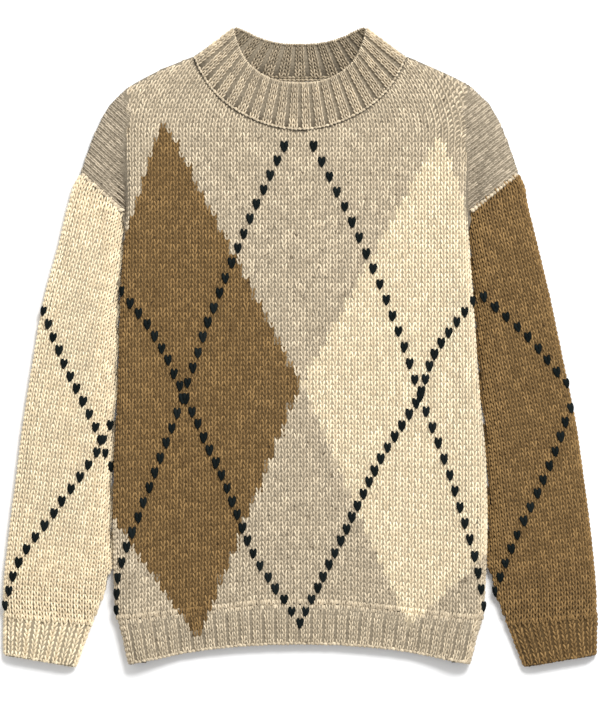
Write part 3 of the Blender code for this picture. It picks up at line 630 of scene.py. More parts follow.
def sleeve_skin(side):
    """A sleeve as a flattened tube. u is 0 on its outer edge, and v is the length up that edge."""
    ys = np.arange(*SLEEVE_Y, 1.0)
    edge = np.column_stack([SLEEVE_OUT[side](ys), ys])
    along = lengths_along(edge)
    slope = np.pad(np.gradient(edge, axis=0), ((SLOPE_SPAN, SLOPE_SPAN), (0, 0)), mode="edge")
    kernel = np.ones(2 * SLOPE_SPAN + 1) / (2 * SLOPE_SPAN + 1)
    slope = np.column_stack([np.convolve(part, kernel, "valid") for part in slope.T])
    seam_outer, seam_inner = np.array(CUFF[side][0], float)
    low_way = (seam_inner - seam_outer) / np.linalg.norm(seam_inner - seam_outer)
    values = np.arange(0.0, along[-1], SLEEVE_STEP)
    loops = []
    for v in values:
        at = sampled(edge, along, v)
        up = sampled(slope, along, v)
        up = up / np.linalg.norm(up)
        swing = ease(v / CUFF_SWING)
        way = low_way * (1 - swing) + np.array((-side * up[1], side * up[0])) * swing
        way = way / np.linalg.norm(way)
        for width in SLEEVE_WIDTHS:
            x, y = at + way * width
            under = TUCK_UNDER * float(ease((y - DIP_ENDS_Y) / DIP_FADE))
            if side * x <= side * sleeve_inner_x(side, y) - under:
                break
        loops.append((at, way, width, SLEEVE_TOP))
    return tube_skin(values, loops, side, dips=True)


def even(skin):
    """Stretches u so that all of a skin's rows have the same length."""
    scale = skin.lengths.mean() / skin.lengths
    skin.starts = skin.starts * scale
    skin.lengths = skin.lengths * scale
    return skin


def cuff_skin(side):
    """A cuff as a flattened tube, with its top under the sleeve."""
    (seam_outer, seam_inner), (end_outer, end_inner) = np.array(CUFF[side], float)
    shares = np.linspace(1, -0.12, 13)
    loops = []
    for share in shares:
        outer = seam_outer + (end_outer - seam_outer) * share
        inner = seam_inner + (end_inner - seam_inner) * share
        width = float(np.linalg.norm(inner - outer))
        loops.append((outer, (inner - outer) / width, width, CUFF_TOP - CUFF_FALL * share))
    return even(tube_skin(CUFF_HEIGHT * (1 - shares), loops, side))


def half_curve(places):
    """Plan points, evenly spaced, along a curve given for x >= 0 and mirrored, from left to right."""
    right = [(p.x, p.y) for p in places]
    points = np.array([(-x, y) for x, y in right[:0:-1]] + right, float)
    along = lengths_along(points)
    at = np.linspace(0, along[-1], HALF_CURVE_POINTS)
    return np.column_stack([smooth(along, values)(at) for values in points.T])


def band_skin(front):
    """The upper face of one half of the neckband. u is along the seam, v from seam to edge. Two more rows
    turn down over the edge, and the back half has one more below its seam."""
    seam = half_curve(FRONT_NECK_SEAM if front else BACK_NECK_SEAM)
    edge = half_curve(FRONT_BAND_EDGE if front else BACK_BAND_EDGE)
    if not front:
        seam = seam * np.array((BACK_SEAM_FIT[0], 1.0)) + np.array((0, BACK_SEAM_FIT[1]))
        edge = edge * np.array((BACK_EDGE_FIT[0], 1.0)) + np.array((0, BACK_EDGE_FIT[1]))
    share = np.linspace(0, 1, HALF_CURVE_POINTS)
    fold = np.sqrt(1 - (1 - np.clip(np.minimum(share, 1 - share) / BAND_FOLD, 0, 1)) ** 2)
    low_share, low_v = (0.0, -0.01) if front else BACK_BAND_LOW
    shares = np.concatenate([[low_share], np.linspace(0, 1, BAND_ROWS), [1.0, 1.0]])
    rows = []
    for k, t in enumerate(shares):
        turned = max(0, k - BAND_ROWS)
        if front:
            z = BAND_Z + BAND_RISE * t - BAND_ROUND * max(0.0, t - 1 + BAND_LIP) / BAND_LIP
            z = BAND_FOLD_Z + (z - BAND_FOLD_Z) * fold - BAND_TURN * turned
        else:
            z = BACK_BAND_Z + BACK_BAND_RISE * (t + 1 - fold) - BACK_BAND_TURN * turned
        rows.append(np.column_stack([seam * (1 - t) + edge * t, z]))
    values = np.linspace(0, BAND_HEIGHT, BAND_ROWS)
    past = BAND_HEIGHT + BAND_TURN * np.arange(1, 3)
    return Skin(np.concatenate([[low_v], values, past]), rows, [0.0] * len(rows), length=BAND_LENGTH)


# ---- stitches ----
# Stations along one leg of a knitted V: centre across and along the stitch and half width across, all
# in stitches, and the rise as a share of the relief.
Leg = namedtuple("Leg", "a b half rise")
KNIT_LEG = table(
    Leg,
    (0.07, -0.64, 0.070, 0.15), (0.15, -0.32, 0.150, 0.85), (0.26, 0.14, 0.180, 1.00),
    (0.33, 0.52, 0.140, 0.70), (0.35, 0.80, 0.060, 0.05),
)
PLAIN_LEG = table(
    Leg,
    (0.07, -0.60, 0.12, 0.25), (0.21, 0.05, 0.235, 1.00), (0.33, 0.80, 0.12, 0.10),
)
BOLD_LEG = table(
    Leg,
    (0.03, -0.62, 0.10, 0.55), (0.15, -0.30, 0.26, 0.95), (0.24, 0.05, 0.33, 1.10),
    (0.28, 0.34, 0.28, 1.00), (0.32, 0.55, 0.14, 0.60),
)
# On the caps the stitches are pulled long, so that a column shows as a cord.
CORD_LEG = table(
    Leg,
    (0.10, -0.70, 0.10, 0.30), (0.14, -0.30, 0.19, 0.95), (0.19, 0.20, 0.20, 1.00),
    (0.22, 0.60, 0.15, 0.75), (0.20, 0.90, 0.08, 0.30),
)
PURL_BUMP = table(
    Leg,
    (-0.42, 0.0, 0.10, 0.2), (-0.20, 0.10, 0.30, 0.9), (0.20, 0.10, 0.30, 0.9),
    (0.42, 0.0, 0.10, 0.2),
)
FLAT_ROUND = ((-1.0, 0.0), (0.0, 1.0), (1.0, 0.0))
ROUND = ((-1.0, 0.0), (-0.62, 0.80), (0.0, 1.0), (0.62, 0.80), (1.0, 0.0))
PLAIN_ROUND = ((-1.0, 0.0), (-0.45, 0.95), (0.45, 0.95), (1.0, 0.0))


def leg_points(leg, side, section, sideways):
    """Points (n, 3) of one leg, and their (along, across) for the yarn's twist."""
    points = []
    twist = []
    for i, station in enumerate(leg):
        for across, height in section:
            spread = across * station.half
            a, b = (0.0, spread) if sideways else (spread, 0.0)
            points.append((side * station.a + a, station.b + b, station.rise * height))
            twist.append((i / (len(leg) - 1), (across + 1) / 2))
    return points, twist


def leg_faces(stations, columns, start, backwards):
    faces = []
    for i in range(stations - 1):
        for k in range(columns - 1):
            a = start + i * columns + k
            quad = (a, a + 1, a + 1 + columns, a + columns)
            faces.append(quad[::-1] if backwards else quad)
    return faces


def template(leg, section, sideways=False):
    """A stitch of two mirrored legs, or of one that lies sideways: points, twist and faces."""
    points = []
    twist = []
    faces = []
    for side in (1,) if sideways else SIDES:
        start = len(points)
        more, turns = leg_points(leg, side, section, sideways)
        points += more
        twist += turns
        faces += leg_faces(len(leg), len(section), start, sideways)
    return np.array(points, float), np.array(twist, float), np.array(faces, int)


KNIT = template(KNIT_LEG, ROUND)
PLAIN = template(PLAIN_LEG, PLAIN_ROUND)
FLAT = template(PLAIN_LEG, FLAT_ROUND)
BOLD = template(BOLD_LEG, ROUND)
CORD = template(CORD_LEG, ROUND)
PURL = template(PURL_BUMP, PLAIN_ROUND, sideways=True)

# A kind of stitch: its form, how far it rises, and how far its feet lie above the skin.
Stitch = namedtuple("Stitch", "form rise base")
BODY_STITCH = Stitch(KNIT, RELIEF, -RELIEF)
CAP_STITCH = Stitch(CORD, RELIEF, -RELIEF)
BACK_STITCH = Stitch(FLAT, 1.3, -1.35)
LINE_STITCH = Stitch(BOLD, 2.3, -0.5)
SEAM_STITCH = Stitch(PURL, 1.7, -1.2)
# Pairs: the stitch where it shows, and where it is out of sight.
FRONT_STITCHES = (BODY_STITCH, Stitch(PLAIN, RELIEF, -RELIEF))
SLEEVE_STITCHES = (BODY_STITCH, Stitch(PLAIN, 1.2, -1.25))
HEM_STITCHES = (Stitch(KNIT, 2.2, -1.3), Stitch(FLAT, 1.2, -1.3))
CUFF_STITCHES = (Stitch(KNIT, 2.3, -1.3), Stitch(FLAT, 1.2, -1.25))
# The neckband's halves. seam_rows are the v of rows of loops that cover the half's seam.
BandHalf = namedtuple("BandHalf", "name yarn ribs stitch closing closing_v seam_rows")
FRONT_BAND = BandHalf(
    "band_front", "oatmeal", 20, Stitch(KNIT, 3.1, -0.6), Stitch(PURL, 2.2, -0.7), 46.6, seam_rows=()
)
# The back half's stitches take the darker copy of oatmeal, painted shade inside the band.
BACK_BAND = BandHalf(
    "band_back", "oatmeal_inside_painted_shade", 13, Stitch(KNIT, 2.8, -0.8), Stitch(PURL, 2.2, -1.2), 44.8,
    seam_rows=(-7.5, -4.0, -0.5),
)
# The grooves between the hem's ribs, and the loops that close ribbed edges.
HEM_GROOVE = Stitch(PURL, 0.9, -2.2)
HEM_GROOVE_TOP = Stitch(PURL, 0.9, -1.2)
CLOSING = Stitch(PURL, 1.6, -1.0)
CUFF_CLOSING = Stitch(PURL, 1.1, -1.1)

# How much stitches differ: in size, place, turn (radians) and rise.
SIZE_SPREAD, PLACE_SPREAD, TURN_SPREAD, RISE_SPREAD = 0.035, 0.03, 0.035, 0.06


def meshed(us, vs):
    u, v = np.meshgrid(us, vs)
    return u.ravel(), v.ravel()


class Knitting:
    """Stitches gathered by yarn, made into one mesh a yarn."""

    def __init__(self, name):
        self.name = name
        self.batches = {}

    def add(self, yarn, stitch, skin, u, v, wide, high, lean=0.0):
        """Stitches of one kind centred at u, v, each wide by high. lean turns them, in radians."""
        if len(u) == 0:
            return
        form, twist, faces = stitch.form
        count = len(u)
        u = np.asarray(u, float)[:, None]
        v = np.asarray(v, float)[:, None]
        size = 1 + rng.normal(0, SIZE_SPREAD, (count, 1))
        shift = rng.normal(0, PLACE_SPREAD, (count, 2))
        a = (form[None, :, 0] * size + shift[:, :1]) * wide
        b = (form[None, :, 1] * size + shift[:, 1:]) * high
        turn = (lean + rng.normal(0, TURN_SPREAD, count))[:, None]
        a, b = a * np.cos(turn) + b * np.sin(turn), b * np.cos(turn) - a * np.sin(turn)
        lift = 1 + rng.normal(0, RISE_SPREAD, (count, 1))
        points = skin.at(u + a, v + b, stitch.base + form[None, :, 2] * stitch.rise * lift)
        tone = np.repeat(rng.random(count), len(form))
        self.batches.setdefault(yarn, []).append((points, twist, faces, tone))

    def add_pair(self, yarn, pair, skin, u, v, hidden, wide, high, lean=0.0):
        """The pair's first stitch where they show, and its second where they are hidden."""
        lean = np.broadcast_to(lean, len(u))
        for stitch, chosen in zip(pair, (~hidden, hidden)):
            self.add(yarn, stitch, skin, u[chosen], v[chosen], wide, high, lean[chosen])

    def add_front(self, pair, skin, u, v, here, hidden, wide, lean=0.0):
        """The same, in the yarn that the front has at each place."""
        lean = np.broadcast_to(lean, len(u))
        for number, yarn in enumerate(FRONT_YARNS):
            k = here == number
            self.add_pair(yarn, pair, skin, u[k], v[k], hidden[k], wide, COURSE, lean[k])

    def close(self, yarn, stitch, skin, u_range, v, step):
        """The row of loops that closes a ribbed edge."""
        u = np.arange(u_range[0] + step / 2, u_range[1], step)
        self.add(yarn, stitch, skin, u, np.full(len(u), v), step * 1.3, 5.4, lean=0.3)

    def pieces(self):
        made = []
        for yarn, batches in self.batches.items():
            faces = []
            twists = []
            start = 0
            for points, twist, form_faces, _ in batches:
                count, size = points.shape[:2]
                offsets = start + np.arange(count) * size
                faces.append((form_faces[None] + offsets[:, None, None]).reshape(-1, 4))
                twists.append(np.tile(twist, (count, 1)))
                start += count * size
            points = np.concatenate([batch[0].reshape(-1, 3) for batch in batches])
            tones = np.concatenate([batch[3] for batch in batches])
            parts = (points, np.concatenate(faces), np.concatenate(twists), tones)
            piece = quad_mesh(f"{self.name}_{yarn}", *parts)
            piece.data.materials.append(yarn_material(yarn))
            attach(piece, "root")
            made.append(piece)
        return made


def quad_mesh(name, points, faces, twist, tone):
    mesh = bpy.data.meshes.new(name)
    mesh.vertices.add(len(points))
    mesh.vertices.foreach_set("co", (points * MM).astype(np.float32).ravel())
    mesh.loops.add(faces.size)
    mesh.loops.foreach_set("vertex_index", faces.astype(np.int32).ravel())
    mesh.polygons.add(len(faces))
    mesh.polygons.foreach_set("loop_start", np.arange(0, faces.size, 4, dtype=np.int32))
    layer = mesh.uv_layers.new(name="twist")
    layer.data.foreach_set("uv", twist[faces.ravel()].astype(np.float32).ravel())
    attribute = mesh.attributes.new("tone", "FLOAT", "POINT")
    attribute.data.foreach_set("value", tone.astype(np.float32))
    mesh.update()
    mesh.validate()
    mesh.shade_smooth()
    piece = bpy.data.objects.new(name, mesh)
    bpy.context.scene.collection.objects.link(piece)
    return piece


# ---- materials ----
def node(tree, kind, **values):
    """A new shader node. A value is a setting, or an input's constant or socket, by name or number."""
    made = tree.nodes.new(f"ShaderNode{kind}")
    for key, value in values.items():
        if not (key.isdigit() or key in made.inputs):
            setattr(made, key, value)
            continue
        socket = made.inputs[int(key) if key.isdigit() else key]
        if isinstance(value, bpy.types.NodeSocket):
            tree.links.new(value, socket)
        else:
            socket.default_value = value
    return made


def mixed(tree, factor, first, second):
    """A colour mix of two sockets or constants."""
    return node(tree, "Mix", data_type="RGBA", **{"0": factor, "6": first, "7": second}).outputs[2]


def ramp(tree, source, low, high):
    """source mapped smoothly so that low becomes 0 and high 1."""
    ends = {"From Min": low, "From Max": high}
    mapped = node(tree, "MapRange", interpolation_type="SMOOTHSTEP", Value=source, **ends)
    return mapped.outputs["Result"]


# Of the fine noise from dark fibres to light ones, and of each stitch's tone from the yarn's own colour
# to a paler or a deeper one.
FINE_RANGE, PALE_RANGE, DEEP_RANGE = (0.27, 0.76), (0.45, 1.4), (0.42, -0.5)
PALE, DEEP = 1.18, 0.9


def shaded(colour, factor):
    return [*(min(1.0, part * factor) for part in colour[:3]), 1.0]


def yarn_colour(tree, yarn, shade, fine, marl):
    """The yarn's colour: light and dark fibres, flecks, and on stitches a tone for each."""
    # A shade below 1 darkens every colour: painted shade for the cloth between the stitches.
    light, dark, fleck = (shaded(colour, shade) for colour in (yarn.light, yarn.dark, yarn.fleck))
    colour = mixed(tree, ramp(tree, fine, *FINE_RANGE), dark, light)
    first_fleck, full_fleck = 0.78 - yarn.fleck_share * 0.6, 0.86 - yarn.fleck_share * 0.3
    colour = mixed(tree, ramp(tree, marl, first_fleck, full_fleck), colour, fleck)
    if shade < 1.0:
        return colour
    tone = node(tree, "Attribute", attribute_name="tone").outputs["Fac"]
    colour = mixed(tree, ramp(tree, tone, *PALE_RANGE), colour, shaded(light, PALE))
    return mixed(tree, ramp(tree, tone, *DEEP_RANGE), colour, shaded(dark, DEEP))


def ply_normal(tree, normal):
    """The twist of the yarn's plies, added to a normal."""
    turns = node(tree, "UVMap", uv_map="twist").outputs["UV"]
    scaled = node(tree, "VectorMath", operation="MULTIPLY", **{"0": turns, "1": (2.4, 1.1, 1.0)})
    waves = {"Vector": scaled.outputs[0], "Scale": 0.55, "Distortion": 0.6}
    wave = node(tree, "TexWave", bands_direction="DIAGONAL", **waves)
    height = wave.outputs["Fac"]
    return node(tree, "Bump", Strength=0.5, Distance=0.0005, Height=height, Normal=normal).outputs["Normal"]


def yarn_material(yarn_name, shade=1.0):
    """The material of a yarn's stitches, or with a shade below 1 that of the cloth under them, its colours
    darkened as painted shade between the stitches.
    """
    name = f"{yarn_name}_yarn" if shade == 1.0 else f"{yarn_name}_ground"
    if name in bpy.data.materials:
        return bpy.data.materials[name]
    yarn = YARNS[yarn_name]
    material = bpy.data.materials.new(name)
    material.use_nodes = True
    tree = material.node_tree
    shader = tree.nodes["Principled BSDF"]
    shader.inputs["Roughness"].default_value = 0.95
    shader.inputs["Specular IOR Level"].default_value = yarn.specular
    shader.inputs["Sheen Weight"].default_value = yarn.sheen
    shader.inputs["Sheen Roughness"].default_value = 0.6
    place = node(tree, "TexCoord").outputs["Object"]
    fine = node(tree, "TexNoise", Vector=place, Scale=520.0, Detail=3.0, Roughness=0.7).outputs["Fac"]
    marl = node(tree, "TexNoise", Vector=place, Scale=170.0, Detail=2.0, Roughness=0.6).outputs["Fac"]
    tree.links.new(yarn_colour(tree, yarn, shade, fine, marl), shader.inputs["Base Color"])
    normal = node(tree, "Bump", Strength=0.55, Distance=0.0004, Height=fine).outputs["Normal"]
    tree.links.new(ply_normal(tree, normal) if shade == 1.0 else normal, shader.inputs["Normal"])
    return material


# ---- pattern ----
def beyond(line_start, line_end, points):
    """Positive where points lie to the left of the line from start to end."""
    start = np.array(line_start, float)
    way = np.array(line_end, float) - start
    offset = points - start
    return way[0] * offset[:, 1] - way[1] * offset[:, 0]


def past_armhole(side, points):
    """How far points lie past the armhole seam, towards the cuff."""
    outer, inner = ARMHOLE[side]
    return side * beyond(outer, inner, points[:, :2]) / np.linalg.norm(outer - inner)


def in_diamond(diamond, points):
    """Whether plan points lie in a diamond whose outer corner is hidden past the body's edge."""
    side = 1 if diamond.inner[0] > diamond.top[0] else -1
    edges = (
        (diamond.top, diamond.inner),
        (diamond.inner, diamond.bottom),
        (diamond.bottom, diamond.outer_low),
        (diamond.outer_high, diamond.top),
    )
    return np.all([side * beyond(start, end, points) < 0 for start, end in edges], axis=0)


def front_yarn(points):
    """The yarn's number at plan points: 0 oatmeal, 1 brown, 2 cream."""
    found = np.zeros(len(points), int)
    found[in_diamond(BROWN_DIAMOND, points)] = 1
    found[in_diamond(CREAM_DIAMOND, points)] = 2
    return found


FRONT_YARNS = ("oatmeal", "brown", "cream")


# ---- shells of cloth ----
def cut_up(work, axes):
    """Cuts a mesh by evenly spaced planes across these axes, so that it can follow the unevenness."""
    for axis in axes:
        normal = [float(k == axis) for k in range(3)]
        places = [v.co[axis] / MM for v in work.verts]
        for place in np.arange(min(places) + SHELL_CUT, max(places) - 1, SHELL_CUT):
            at = [place * MM if k == axis else 0.0 for k in range(3)]
            everything = list(work.verts) + list(work.edges) + list(work.faces)
            bmesh.ops.bisect_plane(work, geom=everything, dist=1e-6, plane_co=at, plane_no=normal)


def soften(work, name):
    """Raises and lowers a shell's upper side as the skins are: unevenness, valleys and dips."""
    plan = np.array([(v.co.x / MM, v.co.y / MM) for v in work.verts])
    for vert, lift, (x, y) in zip(work.verts, unevenness(plan), plan):
        if vert.co.z > SHELL_TOP_Z * MM:
            side = -1 if x < 0 else 1
            if name.startswith("sleeve"):
                lift -= sleeve_dip(max(0.0, side * (x - sleeve_inner_x(side, y))), y)
            past = side * (x - UNDERARM_X[side])
            if name == "front_panel" and past > 0 and y > UNDERARM_Y:
                lift -= valley(side, x, y)
            vert.co.z += float(lift) * MM


def shell(name, yarns, yarn_of=None, cut=()):
    """The cloth under the stitches: the solid's own form, a little inside its surface, with the same
    soft unevenness. yarn_of gives each place's number in yarns."""
    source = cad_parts[name]
    piece = bpy.data.objects.new(f"cloth_{name}", source.data.copy())
    bpy.context.scene.collection.objects.link(piece)
    mesh = piece.data
    mesh.materials.clear()
    work = bmesh.new()
    work.from_mesh(mesh)
    work.transform(source.matrix_world)
    bmesh.ops.remove_doubles(work, verts=work.verts, dist=2e-5)
    cut_up(work, cut)
    work.normal_update()
    for vert in work.verts:
        vert.co -= vert.normal * SHELL_INSET * MM
    soften(work, name)
    for yarn in yarns:
        # The cloth takes its yarns' colours darkened, painted shade between the stitches.
        mesh.materials.append(yarn_material(yarn, GROUND_PAINTED_SHADE))
    for face in work.faces:
        face.material_index = 0
    if yarn_of:
        centres = np.array([tuple(f.calc_center_median()) for f in work.faces])
        for face, number in zip(work.faces, yarn_of(centres[:, :2] / MM)):
            face.material_index = int(number) if face.normal.z > -0.3 else 0
    work.to_mesh(mesh)
    work.free()
    mesh.shade_smooth()
    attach(piece, "root")
    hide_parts(name)
    return piece


# ---- knitting the pieces ----
def lattice(u_range, v_range, wide, high):
    """u and v of stitches in rows and columns, with a column's edge at u = 0."""
    us = np.arange(math.ceil(u_range[0] / wide - 0.5), math.floor(u_range[1] / wide - 0.5) + 1)
    vs = np.arange(v_range[0] + high / 2, v_range[1], high)
    return meshed((us + 0.5) * wide, vs)


def side_name(side):
    return "left" if side < 0 else "right"


def knit_front():
    skin = front_skin()
    reach = float(skin.lengths.max()) / 2
    u, v = lattice((-reach, reach), (skin.v[0], skin.v[-1]), WALE, COURSE)
    here = skin.at(u, v, 0.0)
    keep = skin.holds(u, v, WALE * 0.4)
    keep &= v + droop(here[:, 0], v) < top_line(here[:, 0]) - SEAM_MARGIN
    u, v, here = u[keep], v[keep], here[keep]
    yarn = front_yarn(here[:, :2])
    hidden = here[:, 2] < FRONT_HIDDEN_Z
    yarn[hidden & (np.abs(here[:, 1] - DIAMOND_MIDDLE_Y) >= DIAMOND_UNDER)] = 0
    lean = FAN_LEAN * ease((here[:, 0] - FAN_X) / FAN_WIDE) * ease((here[:, 1] - FAN_Y) / FAN_HIGH)
    knitting = Knitting("front")
    knitting.add_front(FRONT_STITCHES, skin, u, v, yarn, hidden, WALE, lean)
    return skin, knitting.pieces()


def knit_cap(side):
    skin = cap_skin(side)
    start = skin.starts[0]
    u, v = lattice((start, start + skin.lengths[0]), (skin.v[0], skin.v[-1]), CAP_WALE, COURSE)
    here = skin.at(u, v, 0.0)
    outward = side * here[:, 0]
    keep = outward > side * UNDERARM_X[side] - CAP_TUCK
    keep &= here[:, 1] < SHOULDER_LINE[side](here[:, 0]) - 1.0
    keep &= (outward < CAP_BOX[0]) & (here[:, 1] > CAP_BOX[1])
    keep &= past_armhole(side, here) < -SEAM_MARGIN
    knitting = Knitting(f"cap_{side_name(side)}")
    # The cap's stitches take the darker copy of oatmeal, painted shade.
    knitting.add("oatmeal_cap_painted_shade", CAP_STITCH, skin, u[keep], v[keep], CAP_WALE, COURSE)
    return knitting.pieces()


def knit_hem(skin):
    """The hem: grooves first, then its closing row, then two columns of stitches to a rib."""
    reach = float(skin.lengths[0]) / 2
    pitch = HEM_WIDTH / HEM_RIBS
    ribs = np.arange(-math.floor(reach / pitch), math.floor(reach / pitch) + 1)
    courses = np.arange(-HEM_HEIGHT + COURSE * 0.8, 4.0, COURSE)
    knitting = Knitting("hem")

    def placed(us):
        u, v = meshed(us, courses)
        keep = np.abs(u) < reach - 2
        u, v = u[keep], v[keep]
        here = skin.at(u, v, 0.0)
        return u, v, front_yarn(here[:, :2]), here[:, 2] < HIDDEN_Z

    u, v, yarn, hidden = placed(ribs * pitch)
    for number, name in enumerate(FRONT_YARNS):
        for stitch, top, high in ((HEM_GROOVE, False, COURSE), (HEM_GROOVE_TOP, True, COURSE * 1.5)):
            pick = (yarn == number) & ~hidden & ((v > -4.0) == top)
            knitting.add(name, stitch, skin, u[pick], v[pick], pitch * 0.36, high)
    knitting.close("oatmeal", CLOSING, skin, (-reach + 14.0, reach - 14.0), -41.4, 4.6)
    for offset in (-0.2, 0.2):
        knitting.add_front(HEM_STITCHES, skin, *placed((ribs + 0.5 + offset) * pitch), pitch * 0.42)
    return knitting.pieces()


def knit_back():
    """Stitches on the back's underside, wherever all of a stitch rests on the floor."""
    tree = node_tree("back_panel", "hem_rib_back")
    u, v = lattice((-236, 236), (-336, 306), WALE, COURSE)
    near = ((0, 0), (3, 0), (-3, 0), (0, 4.5), (0, -4.5))
    keep = np.array([all(rests(tree, x - a, y + b) for x, y in near) for a, b in zip(u, v)])
    knitting = Knitting("back")
    knitting.add("oatmeal", BACK_STITCH, back_skin(), u[keep], v[keep], WALE, COURSE)
    return knitting.pieces()


def knit_sleeve(side, yarn):
    skin = sleeve_skin(side)
    name = f"sleeve_{side_name(side)}"
    widest = float(skin.lengths.max())
    u, v = lattice((-widest, widest), (0.0, skin.v[-1]), SLEEVE_WALE, COURSE)
    here = skin.at(u, v, 0.0)
    keep = skin.holds(u, v, 2.0) & (past_armhole(side, here) > 1.2)
    hidden = here[keep, 2] < HIDDEN_Z
    knitting = Knitting(name)
    knitting.add_pair(yarn, SLEEVE_STITCHES, skin, u[keep], v[keep], hidden, SLEEVE_WALE, COURSE)
    lines = Knitting(f"lines_{name}")
    pieces = knitting.pieces()
    stitch_lines(lines, skin, SLEEVE_LINES[side])
    return pieces + lines.pieces()


def knit_cuff(side, yarn):
    skin = cuff_skin(side)
    start, length = float(skin.starts[0]), float(skin.lengths[0])
    pitch = length / CUFF_COLUMNS
    columns = start + (np.arange(CUFF_COLUMNS) + 0.5) * pitch
    u, v = meshed(columns, np.arange(COURSE * 0.8, CUFF_HEIGHT + 4.0, COURSE))
    hidden = skin.at(u, v, 0.0)[:, 2] < HIDDEN_Z
    knitting = Knitting(f"cuff_{side_name(side)}")
    knitting.add_pair(yarn, CUFF_STITCHES, skin, u, v, hidden, pitch * 0.86, COURSE)
    knitting.close(yarn, CUFF_CLOSING, skin, (start + 2.0, start + length - 2.0), 1.6, 4.4)
    return knitting.pieces()


def along_bends(bends, count):
    """count plan points evenly along a smooth line through its bends."""
    bends = np.array(bends, float)
    key = lengths_along(bends)
    fine = np.linspace(0, key[-1], 200)
    path = np.column_stack([smooth(key, values)(fine) for values in bends.T])
    along = lengths_along(path)
    return sampled(path, along, np.linspace(0, along[-1], count))


def stitch_lines(knitting, skin, lines, low_skin=None):
    """Bold stitches along the lines. Those past the hem's seam lie on low_skin."""
    for line in lines:
        path = along_bends(line.bends, line.count)
        low = np.array([low_skin is not None and y < HEM_SEAM(abs(x)) - 3.0 for x, y in path])
        for under, chosen in ((skin, path[~low]), (low_skin, path[low])):
            if len(chosen):
                u, v = np.array([under.locate(x, y) for x, y in chosen]).T
                knitting.add("black", LINE_STITCH, under, u, v, BOLD_WIDE, BOLD_HIGH)


def knit_band_half(half, front):
    skin = band_skin(front)
    knitting = Knitting(half.name)
    pitch = BAND_LENGTH / half.ribs
    courses = np.arange(COURSE / 2, BAND_HEIGHT, COURSE)
    for rib in range(half.ribs):
        for offset in (-0.18, 0.18):
            u = np.full(len(courses), (rib + 0.5 + offset) * pitch)
            knitting.add(half.yarn, half.stitch, skin, u, courses, pitch * 0.37, COURSE)
        for course in courses if rib else ():
            deep = course / BAND_HEIGHT if front else 1.0
            groove = Stitch(PURL, 0.8, -1.7 - 1.5 * deep)
            wide = pitch * (0.36 - 0.1 * deep)
            knitting.add(half.yarn, groove, skin, [rib * pitch], [course], wide, COURSE)
    knitting.close("oatmeal", half.closing, skin, (3.0, BAND_LENGTH - 3.0), half.closing_v, 4.6)
    for v in half.seam_rows:
        knitting.close(half.yarn, CLOSING, skin, (50.0, BAND_LENGTH - 50.0), v, 5.0)
    return knitting.pieces()


def seam_chain(knitting, yarn, path, tree, lift, wide):
    """A chain of stitches along a seam's plan path, over the surface of a search tree."""
    along = lengths_along(path)
    at = np.arange(0, along[-1], 2.0)
    line = sampled(path, along, at)
    way = np.gradient(line, axis=0)
    way = way / np.linalg.norm(way, axis=1, keepdims=True)
    over = np.column_stack([-way[:, 1], way[:, 0]])
    offsets = np.linspace(-SEAM_REACH, SEAM_REACH, 5)
    rows = []
    for offset in offsets:
        row = []
        for (x, y), (ox, oy) in zip(line, over):
            near = (offset - 2, offset, offset + 2)
            top = max(drop(tree, x + ox * k, y + oy * k, BESIDE_Z) for k in near)
            row.append((x + ox * offset, y + oy * offset, top + lift * (1 - (offset / SEAM_REACH) ** 2)))
        rows.append(row)
    skin = Skin(offsets, rows, [0.0] * len(rows), length=at[-1])
    u = np.arange(SEAM_STEP / 2, at[-1], SEAM_STEP)
    knitting.add(yarn, SEAM_STITCH, skin, u, np.zeros(len(u)), SEAM_STEP * 1.25, wide, lean=0.5)


def knit_seams():
    """The seams that show: round the neck and at the armholes."""
    knitting = Knitting("seam")
    tree = node_tree("front_panel", "neckband", "sleeve_left", "sleeve_right")
    neck = half_curve(FRONT_NECK_SEAM) + np.array((0.0, 0.6))
    seam_chain(knitting, "oatmeal", neck, tree, 1.2, 6.0)
    for side in SIDES:
        outer, inner = ARMHOLE[side]
        share = np.linspace(0.02, 1.06, 30)[:, None]
        seam_chain(knitting, "oatmeal", outer * (1 - share) + inner * share, tree, 0.6, 8.5)
    return knitting.pieces()


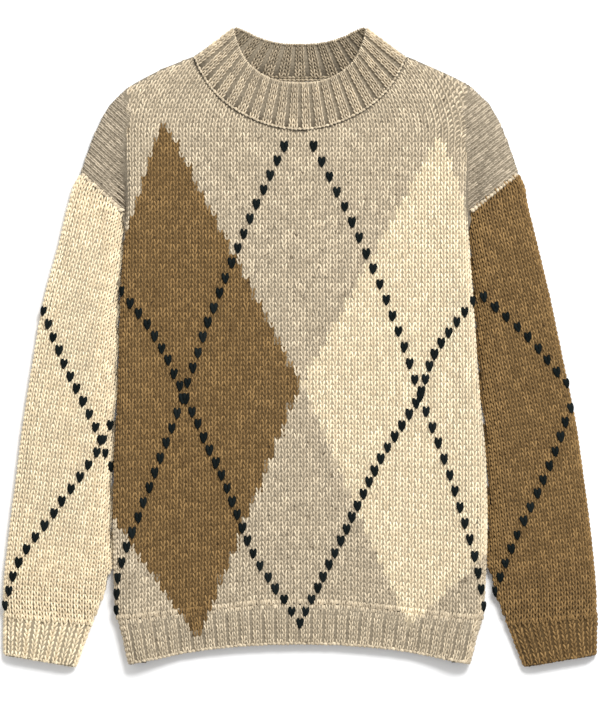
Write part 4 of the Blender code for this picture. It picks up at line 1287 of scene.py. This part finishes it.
def build():
    cloth = {
        "front_panel": shell("front_panel", FRONT_YARNS, front_yarn, cut=(0, 1)),
        "hem_rib_front": shell("hem_rib_front", FRONT_YARNS, front_yarn),
    }
    for name in ("back_panel", "hem_rib_back", "neckband"):
        cloth[name] = shell(name, ("oatmeal",))
    for name in ("sleeve_left", "cuff_left", "sleeve_right", "cuff_right"):
        cloth[name] = shell(name, ("cream" if name.endswith("left") else "brown",), cut=(1,))

    skin, front = knit_front()
    lines = Knitting("lines_body")
    below = hem_skin()
    stitch_lines(lines, skin, BODY_LINES, below)
    front += lines.pieces() + knit_cap(-1) + knit_cap(1)
    hem = knit_hem(below)
    back = knit_back()
    sleeve_left = knit_sleeve(-1, "cream")
    sleeve_right = knit_sleeve(1, "brown")
    cuff_left = knit_cuff(-1, "cream")
    cuff_right = knit_cuff(1, "brown")
    band = knit_band_half(FRONT_BAND, True) + knit_band_half(BACK_BAND, False) + knit_seams()


# ---- floor, light and camera ----
def stage():
    bpy.ops.mesh.primitive_plane_add(size=6.0, location=(0, 0, -0.0002))
    floor = bpy.context.object
    floor.name = "floor"
    material = bpy.data.materials.new("floor")
    material.use_nodes = True
    shader = material.node_tree.nodes["Principled BSDF"]
    shader.inputs["Base Color"].default_value = (0.90, 0.90, 0.90, 1.0)
    shader.inputs["Roughness"].default_value = 0.9
    shader.inputs["Specular IOR Level"].default_value = 0.1
    floor.data.materials.append(material)

    world = bpy.data.worlds.new("studio")
    bpy.context.scene.world = world
    world.use_nodes = True
    background = world.node_tree.nodes["Background"]
    background.inputs["Color"].default_value = (1.0, 1.0, 1.0, 1.0)
    background.inputs["Strength"].default_value = 0.75

    light = bpy.data.lights.new("window_light", "AREA")
    light.shape = "DISK"
    light.size = 1.9
    light.energy = 226.0
    lamp = bpy.data.objects.new("window_light", light)
    lamp.location = (1.2, 2.6, 3.2)
    lamp.rotation_euler = (-lamp.location).to_track_quat("-Z", "Y").to_euler()
    bpy.context.scene.collection.objects.link(lamp)

    bpy.context.scene.view_settings.view_transform = "Standard"
    data = bpy.data.cameras.new("camera")
    data.type = "ORTHO"
    data.ortho_scale = 0.7434
    camera = bpy.data.objects.new("camera", data)
    camera.location = (0.0, -0.0063, 2.0)
    bpy.context.scene.collection.objects.link(camera)
    bpy.context.scene.camera = camera


build()
stage()
bpy.context.view_layer.update()
